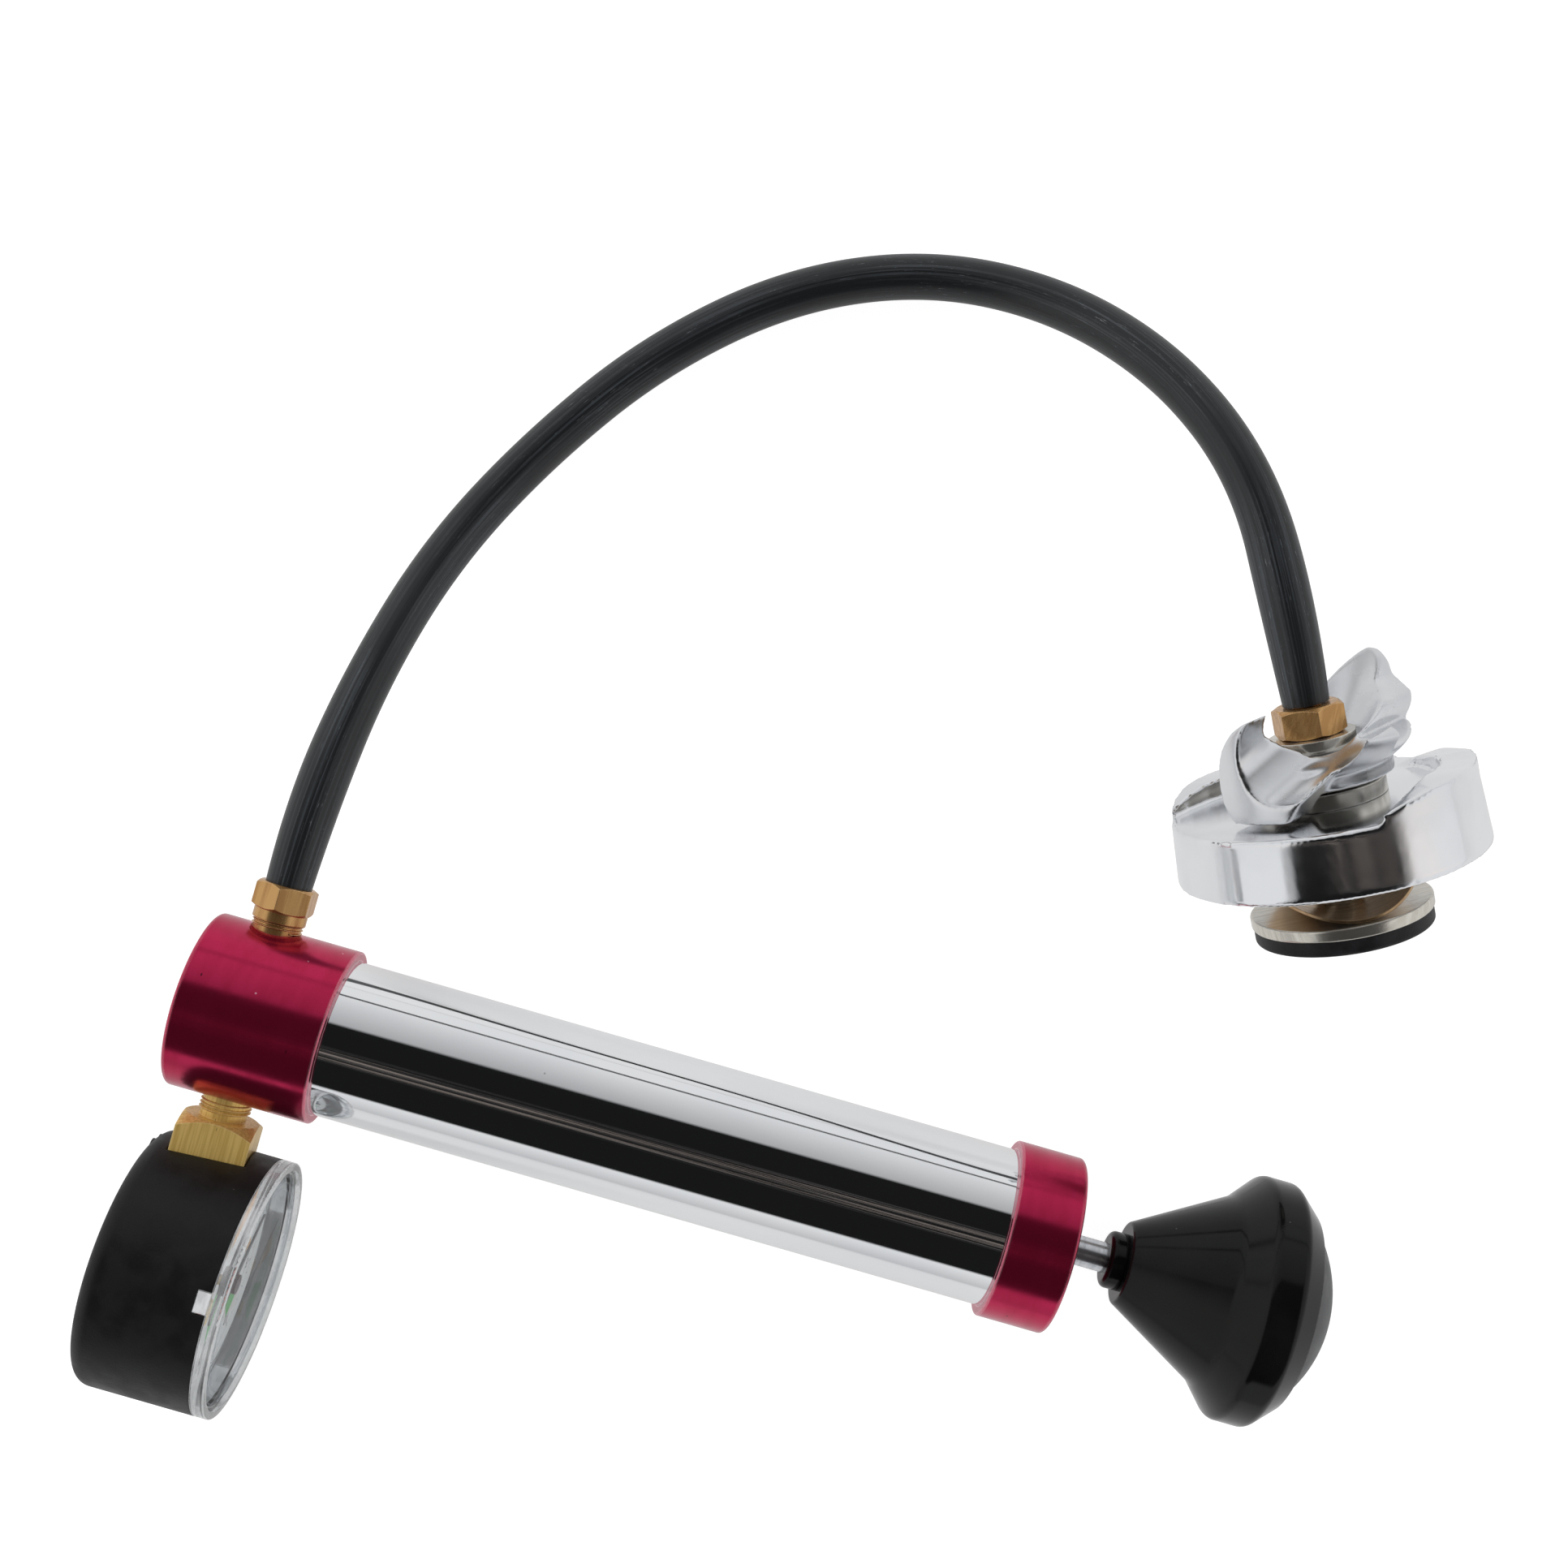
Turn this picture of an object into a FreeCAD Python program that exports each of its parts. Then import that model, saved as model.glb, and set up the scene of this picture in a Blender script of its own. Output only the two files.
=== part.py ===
"""Hand-pumped cooling-system pressure tester, lying on a bench.

The pieces are made in three working frames and then placed in the part's own
frame (+Z up, bench at Z = 0, millimetres).

Pump frame:    +X along the barrel towards the handle, +Y towards the hose, +Z up,
               with its origin on the barrel's axis.
Gauge frame:   as the pump frame, with its origin on the gauge's axis.
Adapter frame: +X along the stem towards the hose, +Z up as far as the tilt allows,
               with its origin on the stem's axis at the cap's flat top.
"""
import FreeCAD, Part
import math
import os
import re

import Sketcher
from FreeCAD import Placement, Rotation, Vector

# ---------------------------------------------------------------- driving sizes
SIZES = {
    # barrel and its two anodised caps
    "barrel_radius": 15.75,
    "barrel_wall": 1.5,
    "cap_wall": 1.91,
    "head_start": -101.2,
    "head_length": 29.15,
    "head_socket_depth": 12.0,
    "end_cap_start": 65.3,
    "end_cap_length": 13.45,
    "end_wall": 4.0,
    "edge_break": 0.7,
    "mouth_break": 0.4,
    "fit_gap": 0.04,
    "gasket_thickness": 1.5,
    "gasket_width": 2.6,
    # ports and the check valve in the head
    "port_setback": 11.5,
    "port_radius": 4.85,
    "port_depth": 6.0,
    "gallery_radius": 2.2,
    "chamber_radius": 4.2,
    "chamber_depth": 8.5,
    "valve_seat_radius": 6.5,
    "valve_seat_thickness": 3.0,
    "valve_hole_radius": 1.4,
    "valve_disc_radius": 3.6,
    "valve_disc_thickness": 1.2,
    "spring_wire_radius": 0.25,
    "spring_radius": 2.6,
    "spring_turns": 4.0,
    "valve_gap": 0.05,
    "valve_lift": 1.2,
    # rod, piston and seals
    "rod_radius": 3.0,
    "running_gap": 0.06,
    "piston_gap": 0.09,
    "head_gap": 1.6,
    "rod_nut_width": 10.0,
    "rod_nut_height": 4.0,
    "rod_tail": 1.0,
    "cup_washer_radius": 9.0,
    "cup_washer_thickness": 1.2,
    "cup_floor": 1.8,
    "cup_lip_height": 5.0,
    "cup_lip_wall": 1.4,
    "piston_length": 9.0,
    "back_nut_height": 3.2,
    "bumper_radius": 7.0,
    "bumper_length": 3.0,
    "rod_bush_radius": 5.6,
    "bush_flange_radius": 9.0,
    "bush_flange_thickness": 1.6,
    # handle
    "handle_start": 91.2,
    "handle_nose_radius": 8.2,
    "handle_cone_length": 18.8,
    "handle_cone_radius": 19.0,
    "handle_neck_length": 5.0,
    "flange_length": 6.0,
    "flange_radius": 24.5,
    "handle_back_length": 4.6,
    "handle_back_rim": 1.35,
    "handle_round": 2.0,
    "handle_pocket_radius": 8.0,
    "handle_pocket_depth": 6.0,
    "dome_radius": 18.7,
    "dome_seat": 3.0,
    "dome_rise": 7.6,
    "dome_gap": 0.15,
    "collar_radius": 5.7,
    "collar_length": 3.4,
    "collar_round": 1.2,
    "handle_washer_radius": 7.0,
    "handle_washer_thickness": 1.2,
    # gauge
    "gauge_offset": 53.0,
    "gauge_radius": 25.8,
    "gauge_reach": 11.6,
    "case_length": 24.6,
    "lens_height": 2.8,
    "case_wall": 1.8,
    "case_floor": 2.0,
    "case_edge": 3.2,
    "lens_thickness": 1.4,
    "lens_rim": 1.5,
    "lens_slope": 0.6,
    "lens_skirt": 3.5,
    "lens_skirt_wall": 1.2,
    "lens_recess": 1.0,
    "lens_gap": 0.1,
    "tab_angle": 83.0,
    "tab_width": 4.2,
    "tab_reach": 2.6,
    "tab_rise": 1.0,
    "dial_gap": 1.4,
    "dial_thickness": 0.6,
    "dial_depth": 3.4,
    "dial_screw_spread": 9.0,
    "pointer_height": 1.4,
    "pointer_thickness": 0.4,
    "pointer_length": 16.5,
    "pointer_tail": 6.5,
    "pointer_width": 2.0,
    "pointer_tip_width": 0.4,
    "pointer_hub_radius": 2.0,
    "pointer_hub_height": 1.6,
    "shaft_radius": 0.7,
    "shaft_gap": 0.05,
    "plate_thickness": 0.9,
    "front_plate_depth": 8.2,
    "back_plate_depth": 17.2,
    "plate_low": -9.0,
    "foot_length": 3.0,
    "plate_side": 7.5,
    "plate_side_far": 15.5,
    "plate_gap": 0.4,
    "pillar_radius": 1.3,
    "pad_radius": 1.6,
    "gear_module": 0.32,
    "pinion_teeth": 10,
    "sector_teeth": 80,
    "sector_span": 54.0,
    "sector_bearing": 60.0,
    "gear_depth": 13.0,
    "gear_width": 1.2,
    "gear_backlash": 0.12,
    "sector_tail": 5.0,
    "arm_width": 3.0,
    "pointer_sweep": 270.0,
    "link_pin_radius": 0.5,
    "link_slack": 0.35,
    "link_thickness": 0.5,
    "link_width": 2.2,
    "tube_inset": 4.6,
    "tube_thickness": 1.8,
    "tube_wall": 0.4,
    "tube_width": 6.0,
    "tube_sweep": 238.0,
    "tube_depth": 9.4,
    "tip_length": 5.2,
    "tip_width": 6.0,
    "tip_thickness": 1.0,
    "stem_block_width": 15.0,
    "stem_block_start": 21.5,
    "stem_neck_radius": 4.6,
    "stem_turn": 6.0,
    "stem_thread_show": 1.1,
    "block_clearance": 0.25,
    "holder_width": 9.0,
    "holder_depth": 6.0,
    "screw_radius": 0.9,
    "screw_head_radius": 1.7,
    "screw_head_height": 0.9,
    "screw_length": 4.0,
    # hose and its two fittings
    "hose_radius": 4.75,
    "thread_radius": 4.8,
    "fitting_shoulder_radius": 5.35,
    "fitting_shoulder_start": 19.4,
    "fitting_hex_start": 21.4,
    "fitting_hex_end": 26.8,
    "fitting_hex_width": 11.2,
    "face_share": 0.96,
    "hexagon_reach_share": 1.2,
    "square_reach_share": 1.45,
    "face_chamfer_slope": 0.577,
    "barb_radius": 3.4,
    "barb_neck_radius": 2.8,
    "barb_tip_radius": 2.4,
    "barb_length": 15.0,
    "barb_rings": 3,
    "fitting_bore": 1.6,
    "stem_thread_radius": 3.0,
    "stem_thread_length": 5.0,
    # adapter: cap, bush, wing nut, stem, plate and seal
    "adapter_along": 102.59,
    "adapter_across": 100.24,
    "adapter_yaw": 118.69,
    "adapter_tilt": 10.57,
    "rim_radius": 30.45,
    "rim_draft": 0.85,
    "skirt_depth": 12.7,
    "skirt_wall": 2.6,
    "top_wall": 3.0,
    "rim_round": 0.7,
    "skirt_round": 0.4,
    "ear_height": 3.8,
    "ear_clearance": 0.6,
    "ear_root": 1.0,
    "cam_reach": 2.6,
    "cam_thickness": 1.8,
    "cam_span": 58.0,
    "cam_bearing": 15.0,
    "bush_body_radius": 10.0,
    "hub_flange_radius": 12.6,
    "hub_flange_height": 3.3,
    "hub_collar_radius": 12.0,
    "hub_collar_thickness": 2.0,
    "turn_gap": 0.08,
    "nut_screw_radius": 7.4,
    "nut_screw_end": -4.6,
    "nut_hub_radius": 14.5,
    "nut_hub_base": 4.0,
    "nut_hub_draft": 0.5,
    "nut_hub_top": 8.4,
    "nut_neck_top": 7.0,
    "nut_bowl_radius": 18.9,
    "nut_bowl_height": 10.6,
    "nut_flare_top": 17.0,
    "nut_boss_radius": 9.6,
    "nut_boss_top": 10.2,
    "nut_boss_step": 2.0,
    "wing_radius": 22.0,
    "wing_base": 0.8,
    "wing_bearing": 37.0,
    "low_wing_top": 21.2,
    "high_wing_top": 25.2,
    "wing_back": 7.6,
    "foot_bearing": 40.0,
    "foot_half_width": 6.2,
    "foot_spread": 11.0,
    "low_crest_slope": 0.92,
    "high_crest_slope": 1.12,
    "scoop_radius": 8.9,
    "scoop_turn": 24.3,
    "scoop_rise": 20.4,
    "scoop_across": 12.7,
    "scoop_height": 20.7,
    "stem_radius": 4.4,
    "stem_bore": 2.0,
    "stem_flange_radius": 8.4,
    "stem_flange_thickness": 2.0,
    "washer_radius": 8.0,
    "washer_thickness": 0.6,
    "adapter_hex_length": 6.0,
    "adapter_hex_width": 12.4,
    "plate_radius": 17.8,
    "plate_top": 21.85,
    "seal_plate_thickness": 2.45,
    "seal_radius": 17.45,
    "seal_thickness": 3.1,
    "retainer_radius": 8.5,
    "retainer_thickness": 1.4,
    "retainer_seat": 0.3,
    "leaf_radius": 16.0,
    "leaf_bend": 21.0,
    "leaf_thickness": 0.6,
    "leaf_gap": 0.06,
    # middle of the footprint, measured from the pump frame's origin
    "footprint_along": 16.98,
    "footprint_across": 26.94,
}

# Hose route, placed by hand: along and across from the pump frame's origin, and
# height above the bench.
HOSE_ROUTE = [
    (-89.7, 26.8, 25.8),
    (-89.7, 43.8, 25.8),
    (-87.3, 72.0, 20.0),
    (-81.5, 100.4, 10.3),
    (-69.2, 127.0, 4.9),
    (-51.4, 152.6, 4.9),
    (-27.7, 173.9, 4.9),
    (-0.5, 185.9, 4.9),
    (27.5, 185.8, 12.0),
    (52.2, 174.4, 26.5),
    (71.5, 156.3, 36.8),
    (85.4, 131.4, 38.9),
    (93.5, 116.8, 35.8),
]
HOSE_ARC_SHARE = 0.45

# Distance below which two points count as one.
SAME_POINT = 1e-6

# Stations that several pieces share, as expressions of the sizes above.
HEAD_END = "(head_start + head_length)"
PORT_STATION = "(head_start + port_setback)"
SOCKET_FLOOR = f"({HEAD_END} - head_socket_depth)"
SOCKET_RADIUS = "(barrel_radius + fit_gap)"
CAP_RADIUS = f"({SOCKET_RADIUS} + cap_wall)"
SEAT_START = f"({SOCKET_FLOOR} - valve_seat_thickness)"
CHAMBER_END = f"({SEAT_START} - chamber_depth)"
BARREL_START = f"({SOCKET_FLOOR} + gasket_thickness)"
BORE_RADIUS = "(barrel_radius - barrel_wall)"
END_CAP_END = "(end_cap_start + end_cap_length)"
END_SOCKET = f"({END_CAP_END} - end_wall)"
ROD_START = f"({SOCKET_FLOOR} + head_gap)"
NUT_START = f"({ROD_START} + rod_tail)"
WASHER_START = f"({NUT_START} + rod_nut_height)"
CUP_START = f"({WASHER_START} + cup_washer_thickness)"
PISTON_START = f"({CUP_START} + cup_floor)"
PISTON_END = f"({PISTON_START} + piston_length)"
BUMPER_START = f"({PISTON_END} + back_nut_height)"
CONE_END = "(handle_start + handle_cone_length)"
FLANGE_START = f"({CONE_END} + handle_neck_length)"
FLANGE_END = f"({FLANGE_START} + flange_length)"
HANDLE_BACK = f"({FLANGE_END} + handle_back_length)"
BACK_RADIUS = "(dome_radius + dome_gap + handle_back_rim)"
DOME_FLOOR = f"({HANDLE_BACK} - dome_seat)"
POCKET_FLOOR = f"({DOME_FLOOR} - handle_pocket_depth)"
KNOB_NUT_START = f"({POCKET_FLOOR} + handle_washer_thickness)"
GAUGE_BACK = f"({PORT_STATION} - gauge_reach)"
CASE_FRONT = f"({GAUGE_BACK} + case_length)"
GAUGE_FRONT = f"({CASE_FRONT} + lens_height)"
CASE_BORE = "(gauge_radius - case_wall)"
CASE_FLOOR = f"({GAUGE_BACK} + case_floor)"
DIAL_RADIUS = f"({CASE_BORE} - dial_gap)"
PLATE_HIGH = f"({CASE_BORE} - foot_length)"
HOLDER_START = f"({PLATE_HIGH} - holder_depth)"
TUBE_RADIUS = f"({CASE_BORE} - tube_inset)"
DIAL_FRONT = f"({CASE_FRONT} - dial_depth)"
FRONT_PLATE = f"({CASE_FRONT} - front_plate_depth)"
BACK_PLATE = f"({CASE_FRONT} - back_plate_depth)"
BLOCK_TOP = "(gauge_offset - stem_block_start)"
NUT_FLANGE = "(nut_boss_top + washer_thickness + 2 * valve_gap)"
STEM_TOP = f"({NUT_FLANGE} + stem_flange_thickness)"
PLATE_BOTTOM = "(-plate_top - seal_plate_thickness)"
SEAL_BOTTOM = f"({PLATE_BOTTOM} - seal_thickness)"
STEM_END = f"({SEAL_BOTTOM} - retainer_thickness)"
RETAINER_TOP = f"({SEAL_BOTTOM} + retainer_seat)"
RETAINER_EDGE = "(retainer_radius + fit_gap)"
SKIRT_BORE = "(rim_radius - skirt_wall)"
RIM_TOP = "(rim_radius - rim_draft)"

TO_X = Rotation(Vector(0, 1, 0), 90)
TO_Y = Rotation(Vector(1, 0, 0), -90)

doc = FreeCAD.newDocument("pressure_tester")
sheet = doc.addObject("Spreadsheet::Sheet", "sizes")
for row, (alias, number) in enumerate(SIZES.items(), start=1):
    sheet.set(f"A{row}", alias)
    sheet.set(f"B{row}", str(number))
    sheet.setAlias(f"B{row}", alias)
doc.recompute()

nodes = {}


# ---------------------------------------------------------------- helpers
def formula(text):
    """Point every size named in an expression at its cell in the sheet."""
    def cell(match):
        word = match.group()
        return f"sizes.{word}" if word in SIZES else word
    return re.sub(r"[a-z_]+", cell, str(text))


def size(alias):
    """Read one size from the sheet."""
    return float(sheet.get(alias))


def port_place():
    """Station of the two side ports."""
    return size("head_start") + size("port_setback")


def case_front():
    """Station of the gauge case's front edge."""
    return port_place() - size("gauge_reach") + size("case_length")


def bind(item, **expressions):
    """Bind properties of an object to expressions of the sizes."""
    for name, text in expressions.items():
        item.setExpression(name, formula(text))


def put(item, rotation, along="0", across="0", up="0"):
    """Turn an object and bind the place of its base."""
    item.Placement = Placement(Vector(), rotation)
    for axis, text in zip("xyz", (along, across, up)):
        item.setExpression(f"Placement.Base.{axis}", formula(text))


def rod(name, radius, start, length, across="0", up="0"):
    """Cylinder along X from a start station."""
    item = doc.addObject("Part::Cylinder", name)
    bind(item, Radius=radius, Height=length)
    put(item, TO_X, start, across, up)
    return item


def cross_rod(name, radius, start, length, along="0", up="0"):
    """Cylinder along Y from a start distance."""
    item = doc.addObject("Part::Cylinder", name)
    bind(item, Radius=radius, Height=length)
    put(item, TO_Y, along, start, up)
    return item


def hexagon(name, width, start, length):
    """Hexagonal prism along X, by its width across flats."""
    item = doc.addObject("Part::Prism", name)
    item.Polygon = 6
    bind(item, Circumradius=f"({width}) / sqrt(3)", Height=length)
    put(item, TO_X, start)
    return item


def face_corners(end, width, reach, inward):
    """Outline corners of a turned chamfer on a nut's end face."""
    inner = f"({width}) * face_share / 2"
    outer = f"({width}) * {reach} / 2"
    return [(end, inner), (f"{end} {inward} ({outer} - {inner}) * face_chamfer_slope", outer)]


def chamfered_hexagon(name, width, start, length):
    """Hexagonal prism along X with both end faces chamfered by turning."""
    end = f"({start} + {length})"
    corners = face_corners(start, width, "hexagon_reach_share", "+") + face_corners(
        end, width, "hexagon_reach_share", "-")[::-1]
    envelope = turned(f"{name}_envelope", [(start, "0")] + corners + [(end, "0")])
    return common(name, hexagon(f"{name}_blank", width, start, length), envelope)


def block(name, sides, corner, turn=None):
    """Box by its sides and lowest corner, turned about its own corner."""
    item = doc.addObject("Part::Box", name)
    bind(item, Length=sides[0], Width=sides[1], Height=sides[2])
    put(item, turn or Rotation(), *corner)
    return item


def fuse(name, *parts):
    """Join overlapping or touching shapes."""
    item = doc.addObject("Part::MultiFuse", name)
    item.Shapes = list(parts)
    item.Refine = True
    return item


def cut(name, base, *tools):
    """Take one or more shapes out of a base shape."""
    item = doc.addObject("Part::Cut", name)
    item.Base = base
    item.Tool = tools[0] if len(tools) == 1 else fuse(f"{name}_tools", *tools)
    return item


def common(name, base, tool):
    """Keep what two shapes share."""
    item = doc.addObject("Part::Common", name)
    item.Base = base
    item.Tool = tool
    return item


def solid(name, shape):
    """Hold a shape made with Part's own functions."""
    item = doc.addObject("Part::Feature", name)
    item.Shape = shape
    return item


def group(name, *parts):
    """Keep several separate solids as one compound."""
    item = doc.addObject("Part::Compound", name)
    item.Links = list(parts)
    return item


def corner_edge(shape, corner):
    """Name the round edge that a corner of an outline sweeps."""
    for index, edge in enumerate(shape.Edges, start=1):
        curve = edge.Curve
        if isinstance(curve, Part.Circle) and abs(curve.Radius - abs(corner.y)) < SAME_POINT \
                and abs(curve.Center.x - corner.x) < SAME_POINT:
            return f"Edge{index}"
    raise RuntimeError(f"no edge at {corner}")


def turned(name, outline, rounds=None, angle=None, backwards=False):
    """Body of revolution about X, from (along, radius) corners of its half section.

    rounds gives a fillet radius for the corners at those places in the outline.
    """
    body = doc.addObject("PartDesign::Body", name)
    sketch = body.newObject("Sketcher::SketchObject", f"{name}_outline")
    plane = next(item for item in body.Origin.OriginFeatures if item.Role == "XY_Plane")
    sketch.AttachmentSupport = (plane, [""])
    sketch.MapMode = "FlatFace"
    count = len(outline)
    steps = [2 * math.pi * place / count for place in range(count)]
    spots = [Vector(math.cos(step), math.sin(step) + 2, 0) for step in steps]
    for place, spot in enumerate(spots):
        sketch.addGeometry(Part.LineSegment(spot, spots[(place + 1) % count]), False)
    for place in range(count):
        sketch.addConstraint(Sketcher.Constraint("Coincident", place, 2, (place + 1) % count, 1))
    for place, corner in enumerate(outline):
        for kind, text, start in zip(("DistanceX", "DistanceY"), corner, (spots[place].x, spots[place].y)):
            index = sketch.addConstraint(Sketcher.Constraint(kind, -1, 1, place, 1, start))
            sketch.setExpression(f"Constraints[{index}]", formula(text))
    turn = body.newObject("PartDesign::Revolution", f"{name}_turn")
    turn.Profile = sketch
    turn.ReferenceAxis = (sketch, ["H_Axis"])
    turn.Reversed = backwards
    if angle is None:
        turn.Angle = 360.0
    else:
        turn.setExpression("Angle", formula(angle))
    doc.recompute()
    for place, radius in (rounds or {}).items():
        before = body.Tip
        fillet = body.newObject("PartDesign::Fillet", f"{name}_round_{place}")
        fillet.Base = (before, [corner_edge(before.Shape, sketch.getPoint(place, 1))])
        fillet.setExpression("Radius", formula(radius))
        doc.recompute()
    return body


def ring(name, outer, inner, start, end, rounds=None):
    """Turned ring or tube between two stations."""
    return turned(name, [(start, inner), (start, outer), (end, outer), (end, inner)], rounds)


def plug(name, radius, start, end, rounds=None):
    """Turned solid cylinder between two stations."""
    return turned(name, [(start, "0"), (start, radius), (end, radius), (end, "0")], rounds)


def polar(radius, degrees, along=0.0):
    """Point at a bearing about X, counted from +Y towards +Z."""
    angle = math.radians(degrees)
    return Vector(along, radius * math.cos(angle), radius * math.sin(angle))


def prism(points, thickness):
    """Prism along X on a closed outline of points."""
    face = Part.Face(Part.makePolygon(points + points[:1]))
    return face.extrude(Vector(thickness, 0, 0))


def keep(frame, *items):
    """Place finished pieces in the part's frame and list them as nodes."""
    for item in items:
        item.Placement = frame.multiply(item.Placement)
        nodes[item.Name] = item


# ---------------------------------------------------------------- frames
bench_gap = max(size("flange_radius"), size("gauge_radius"))
middle = Vector(size("footprint_along"), size("footprint_across"), 0)
pump_frame = Placement(Vector(0, 0, bench_gap) - middle, Rotation())
gauge_frame = Placement(Vector(0, -size("gauge_offset"), bench_gap) - middle, Rotation())
tilt = math.radians(size("adapter_tilt"))
rim_height = size("skirt_depth") * math.sin(tilt) + size("rim_radius") * math.cos(tilt)
adapter_base = Vector(size("adapter_along"), size("adapter_across"), rim_height) - middle
adapter_frame = Placement(adapter_base, Rotation(size("adapter_yaw"), -size("adapter_tilt"), 0))
cord_frame = Placement(Vector() - middle, Rotation())


# ---------------------------------------------------------------- pump
def make_head():
    """Anodised head: barrel socket, check valve chamber and two side ports."""
    blank = turned(
        "head_blank",
        [("head_start", "0"), ("head_start", CAP_RADIUS), (HEAD_END, CAP_RADIUS),
         (HEAD_END, SOCKET_RADIUS), (SOCKET_FLOOR, SOCKET_RADIUS),
         (SOCKET_FLOOR, "valve_seat_radius + fit_gap"), (SEAT_START, "valve_seat_radius + fit_gap"),
         (SEAT_START, "chamber_radius"), (CHAMBER_END, "chamber_radius"), (CHAMBER_END, "0")],
        {1: "edge_break", 2: "mouth_break"})
    floor = f"({CAP_RADIUS} - port_depth)"
    gallery = cross_rod("gallery", "gallery_radius", f"-{floor}", f"2 * {floor}", PORT_STATION)
    hose_port = cross_rod("hose_port", "port_radius", floor, "2 * port_depth", PORT_STATION)
    gauge_port = cross_rod("gauge_port", "port_radius", f"-{floor} - 2 * port_depth", "2 * port_depth",
                           PORT_STATION)
    keep(pump_frame, cut("pump_head", blank, gallery, hose_port, gauge_port))


def make_barrel():
    """Chromed barrel, its gasket, the end cap and the rod's guide bush."""
    gasket = ring("barrel_gasket", "barrel_radius", "barrel_radius - gasket_width", SOCKET_FLOOR,
                  BARREL_START)
    tube = ring("barrel", "barrel_radius", BORE_RADIUS, BARREL_START, END_SOCKET)
    cap = turned(
        "end_cap",
        [("end_cap_start", SOCKET_RADIUS), ("end_cap_start", CAP_RADIUS), (END_CAP_END, CAP_RADIUS),
         (END_CAP_END, "rod_bush_radius + fit_gap"), (END_SOCKET, "rod_bush_radius + fit_gap"),
         (END_SOCKET, SOCKET_RADIUS)],
        {1: "mouth_break", 2: "edge_break"})
    bore = "(rod_radius + running_gap)"
    bush = turned(
        "rod_bush",
        [(f"{END_SOCKET} - bush_flange_thickness", bore),
         (f"{END_SOCKET} - bush_flange_thickness", "bush_flange_radius"),
         (END_SOCKET, "bush_flange_radius"), (END_SOCKET, "rod_bush_radius"),
         (END_CAP_END, "rod_bush_radius"), (END_CAP_END, bore)])
    keep(pump_frame, gasket, tube, cap, bush)


def make_valve():
    """Check valve in the head: brass seat, rubber disc and its light spring."""
    seat_blank = ring("seat_blank", "valve_seat_radius", "valve_hole_radius", SEAT_START, SOCKET_FLOOR)
    slot = block("seat_slot", ("valve_seat_thickness / 3", "3 * valve_seat_radius", "valve_hole_radius"),
                 (f"{SOCKET_FLOOR} - valve_seat_thickness / 3", "-1.5 * valve_seat_radius",
                  "-0.5 * valve_hole_radius"))
    disc_front = f"({SEAT_START} - valve_gap)"
    disc_back = f"({disc_front} - valve_disc_thickness)"
    disc = plug("valve_disc", "valve_disc_radius", disc_back, disc_front)
    start = size("head_start") + size("head_length") - size("head_socket_depth") \
        - size("valve_seat_thickness") - size("chamber_depth") + size("spring_wire_radius")
    length = size("chamber_depth") - 2 * size("valve_gap") - size("valve_disc_thickness") \
        - size("valve_lift") - 2 * size("spring_wire_radius")
    coil = Part.makeHelix(length / size("spring_turns"), length, size("spring_radius"))
    wire = Part.Wire([Part.Circle(Vector(size("spring_radius"), 0, 0), Vector(0, 1, 0),
                                  size("spring_wire_radius")).toShape()])
    spring_shape = Part.Wire(coil).makePipeShell([wire], True, True)
    spring_shape.transformShape(Placement(Vector(start, 0, 0), TO_X).toMatrix())
    spring = solid("valve_spring", spring_shape)
    keep(pump_frame, cut("valve_seat", seat_blank, slot), disc, spring)


def make_piston():
    """Rod with its piston, cup seal and the nuts that hold them."""
    radius = f"({BORE_RADIUS} - piston_gap)"
    pocket_end = f"({KNOB_NUT_START} + rod_nut_height)"
    steel_rod = plug("piston_rod", "rod_radius", ROD_START, f"{pocket_end} + rod_tail / 2")
    washer = ring("cup_washer", "cup_washer_radius", "rod_radius", WASHER_START, CUP_START)
    cup = turned(
        "cup_seal",
        [(PISTON_START, "rod_radius"), (PISTON_START, radius), (f"{CUP_START} - cup_lip_height", radius),
         (f"{CUP_START} - cup_lip_height", f"{radius} - cup_lip_wall"),
         (CUP_START, f"{radius} - cup_lip_wall"),
         (CUP_START, "rod_radius")])
    piston = ring("piston", radius, "rod_radius", PISTON_START, PISTON_END)
    nut = cut("piston_nut", hexagon("piston_nut_blank", "rod_nut_width", NUT_START, "rod_nut_height"),
              rod("piston_nut_hole", "rod_radius", NUT_START, "rod_nut_height"))
    back = cut("back_nut", hexagon("back_nut_blank", "rod_nut_width", PISTON_END, "back_nut_height"),
               rod("back_nut_hole", "rod_radius", PISTON_END, "back_nut_height"))
    bumper = ring("stop_bumper", "bumper_radius", "rod_radius", BUMPER_START,
                  f"{BUMPER_START} + bumper_length")
    keep(pump_frame, steel_rod, washer, cup, piston, nut, back, bumper)


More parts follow.
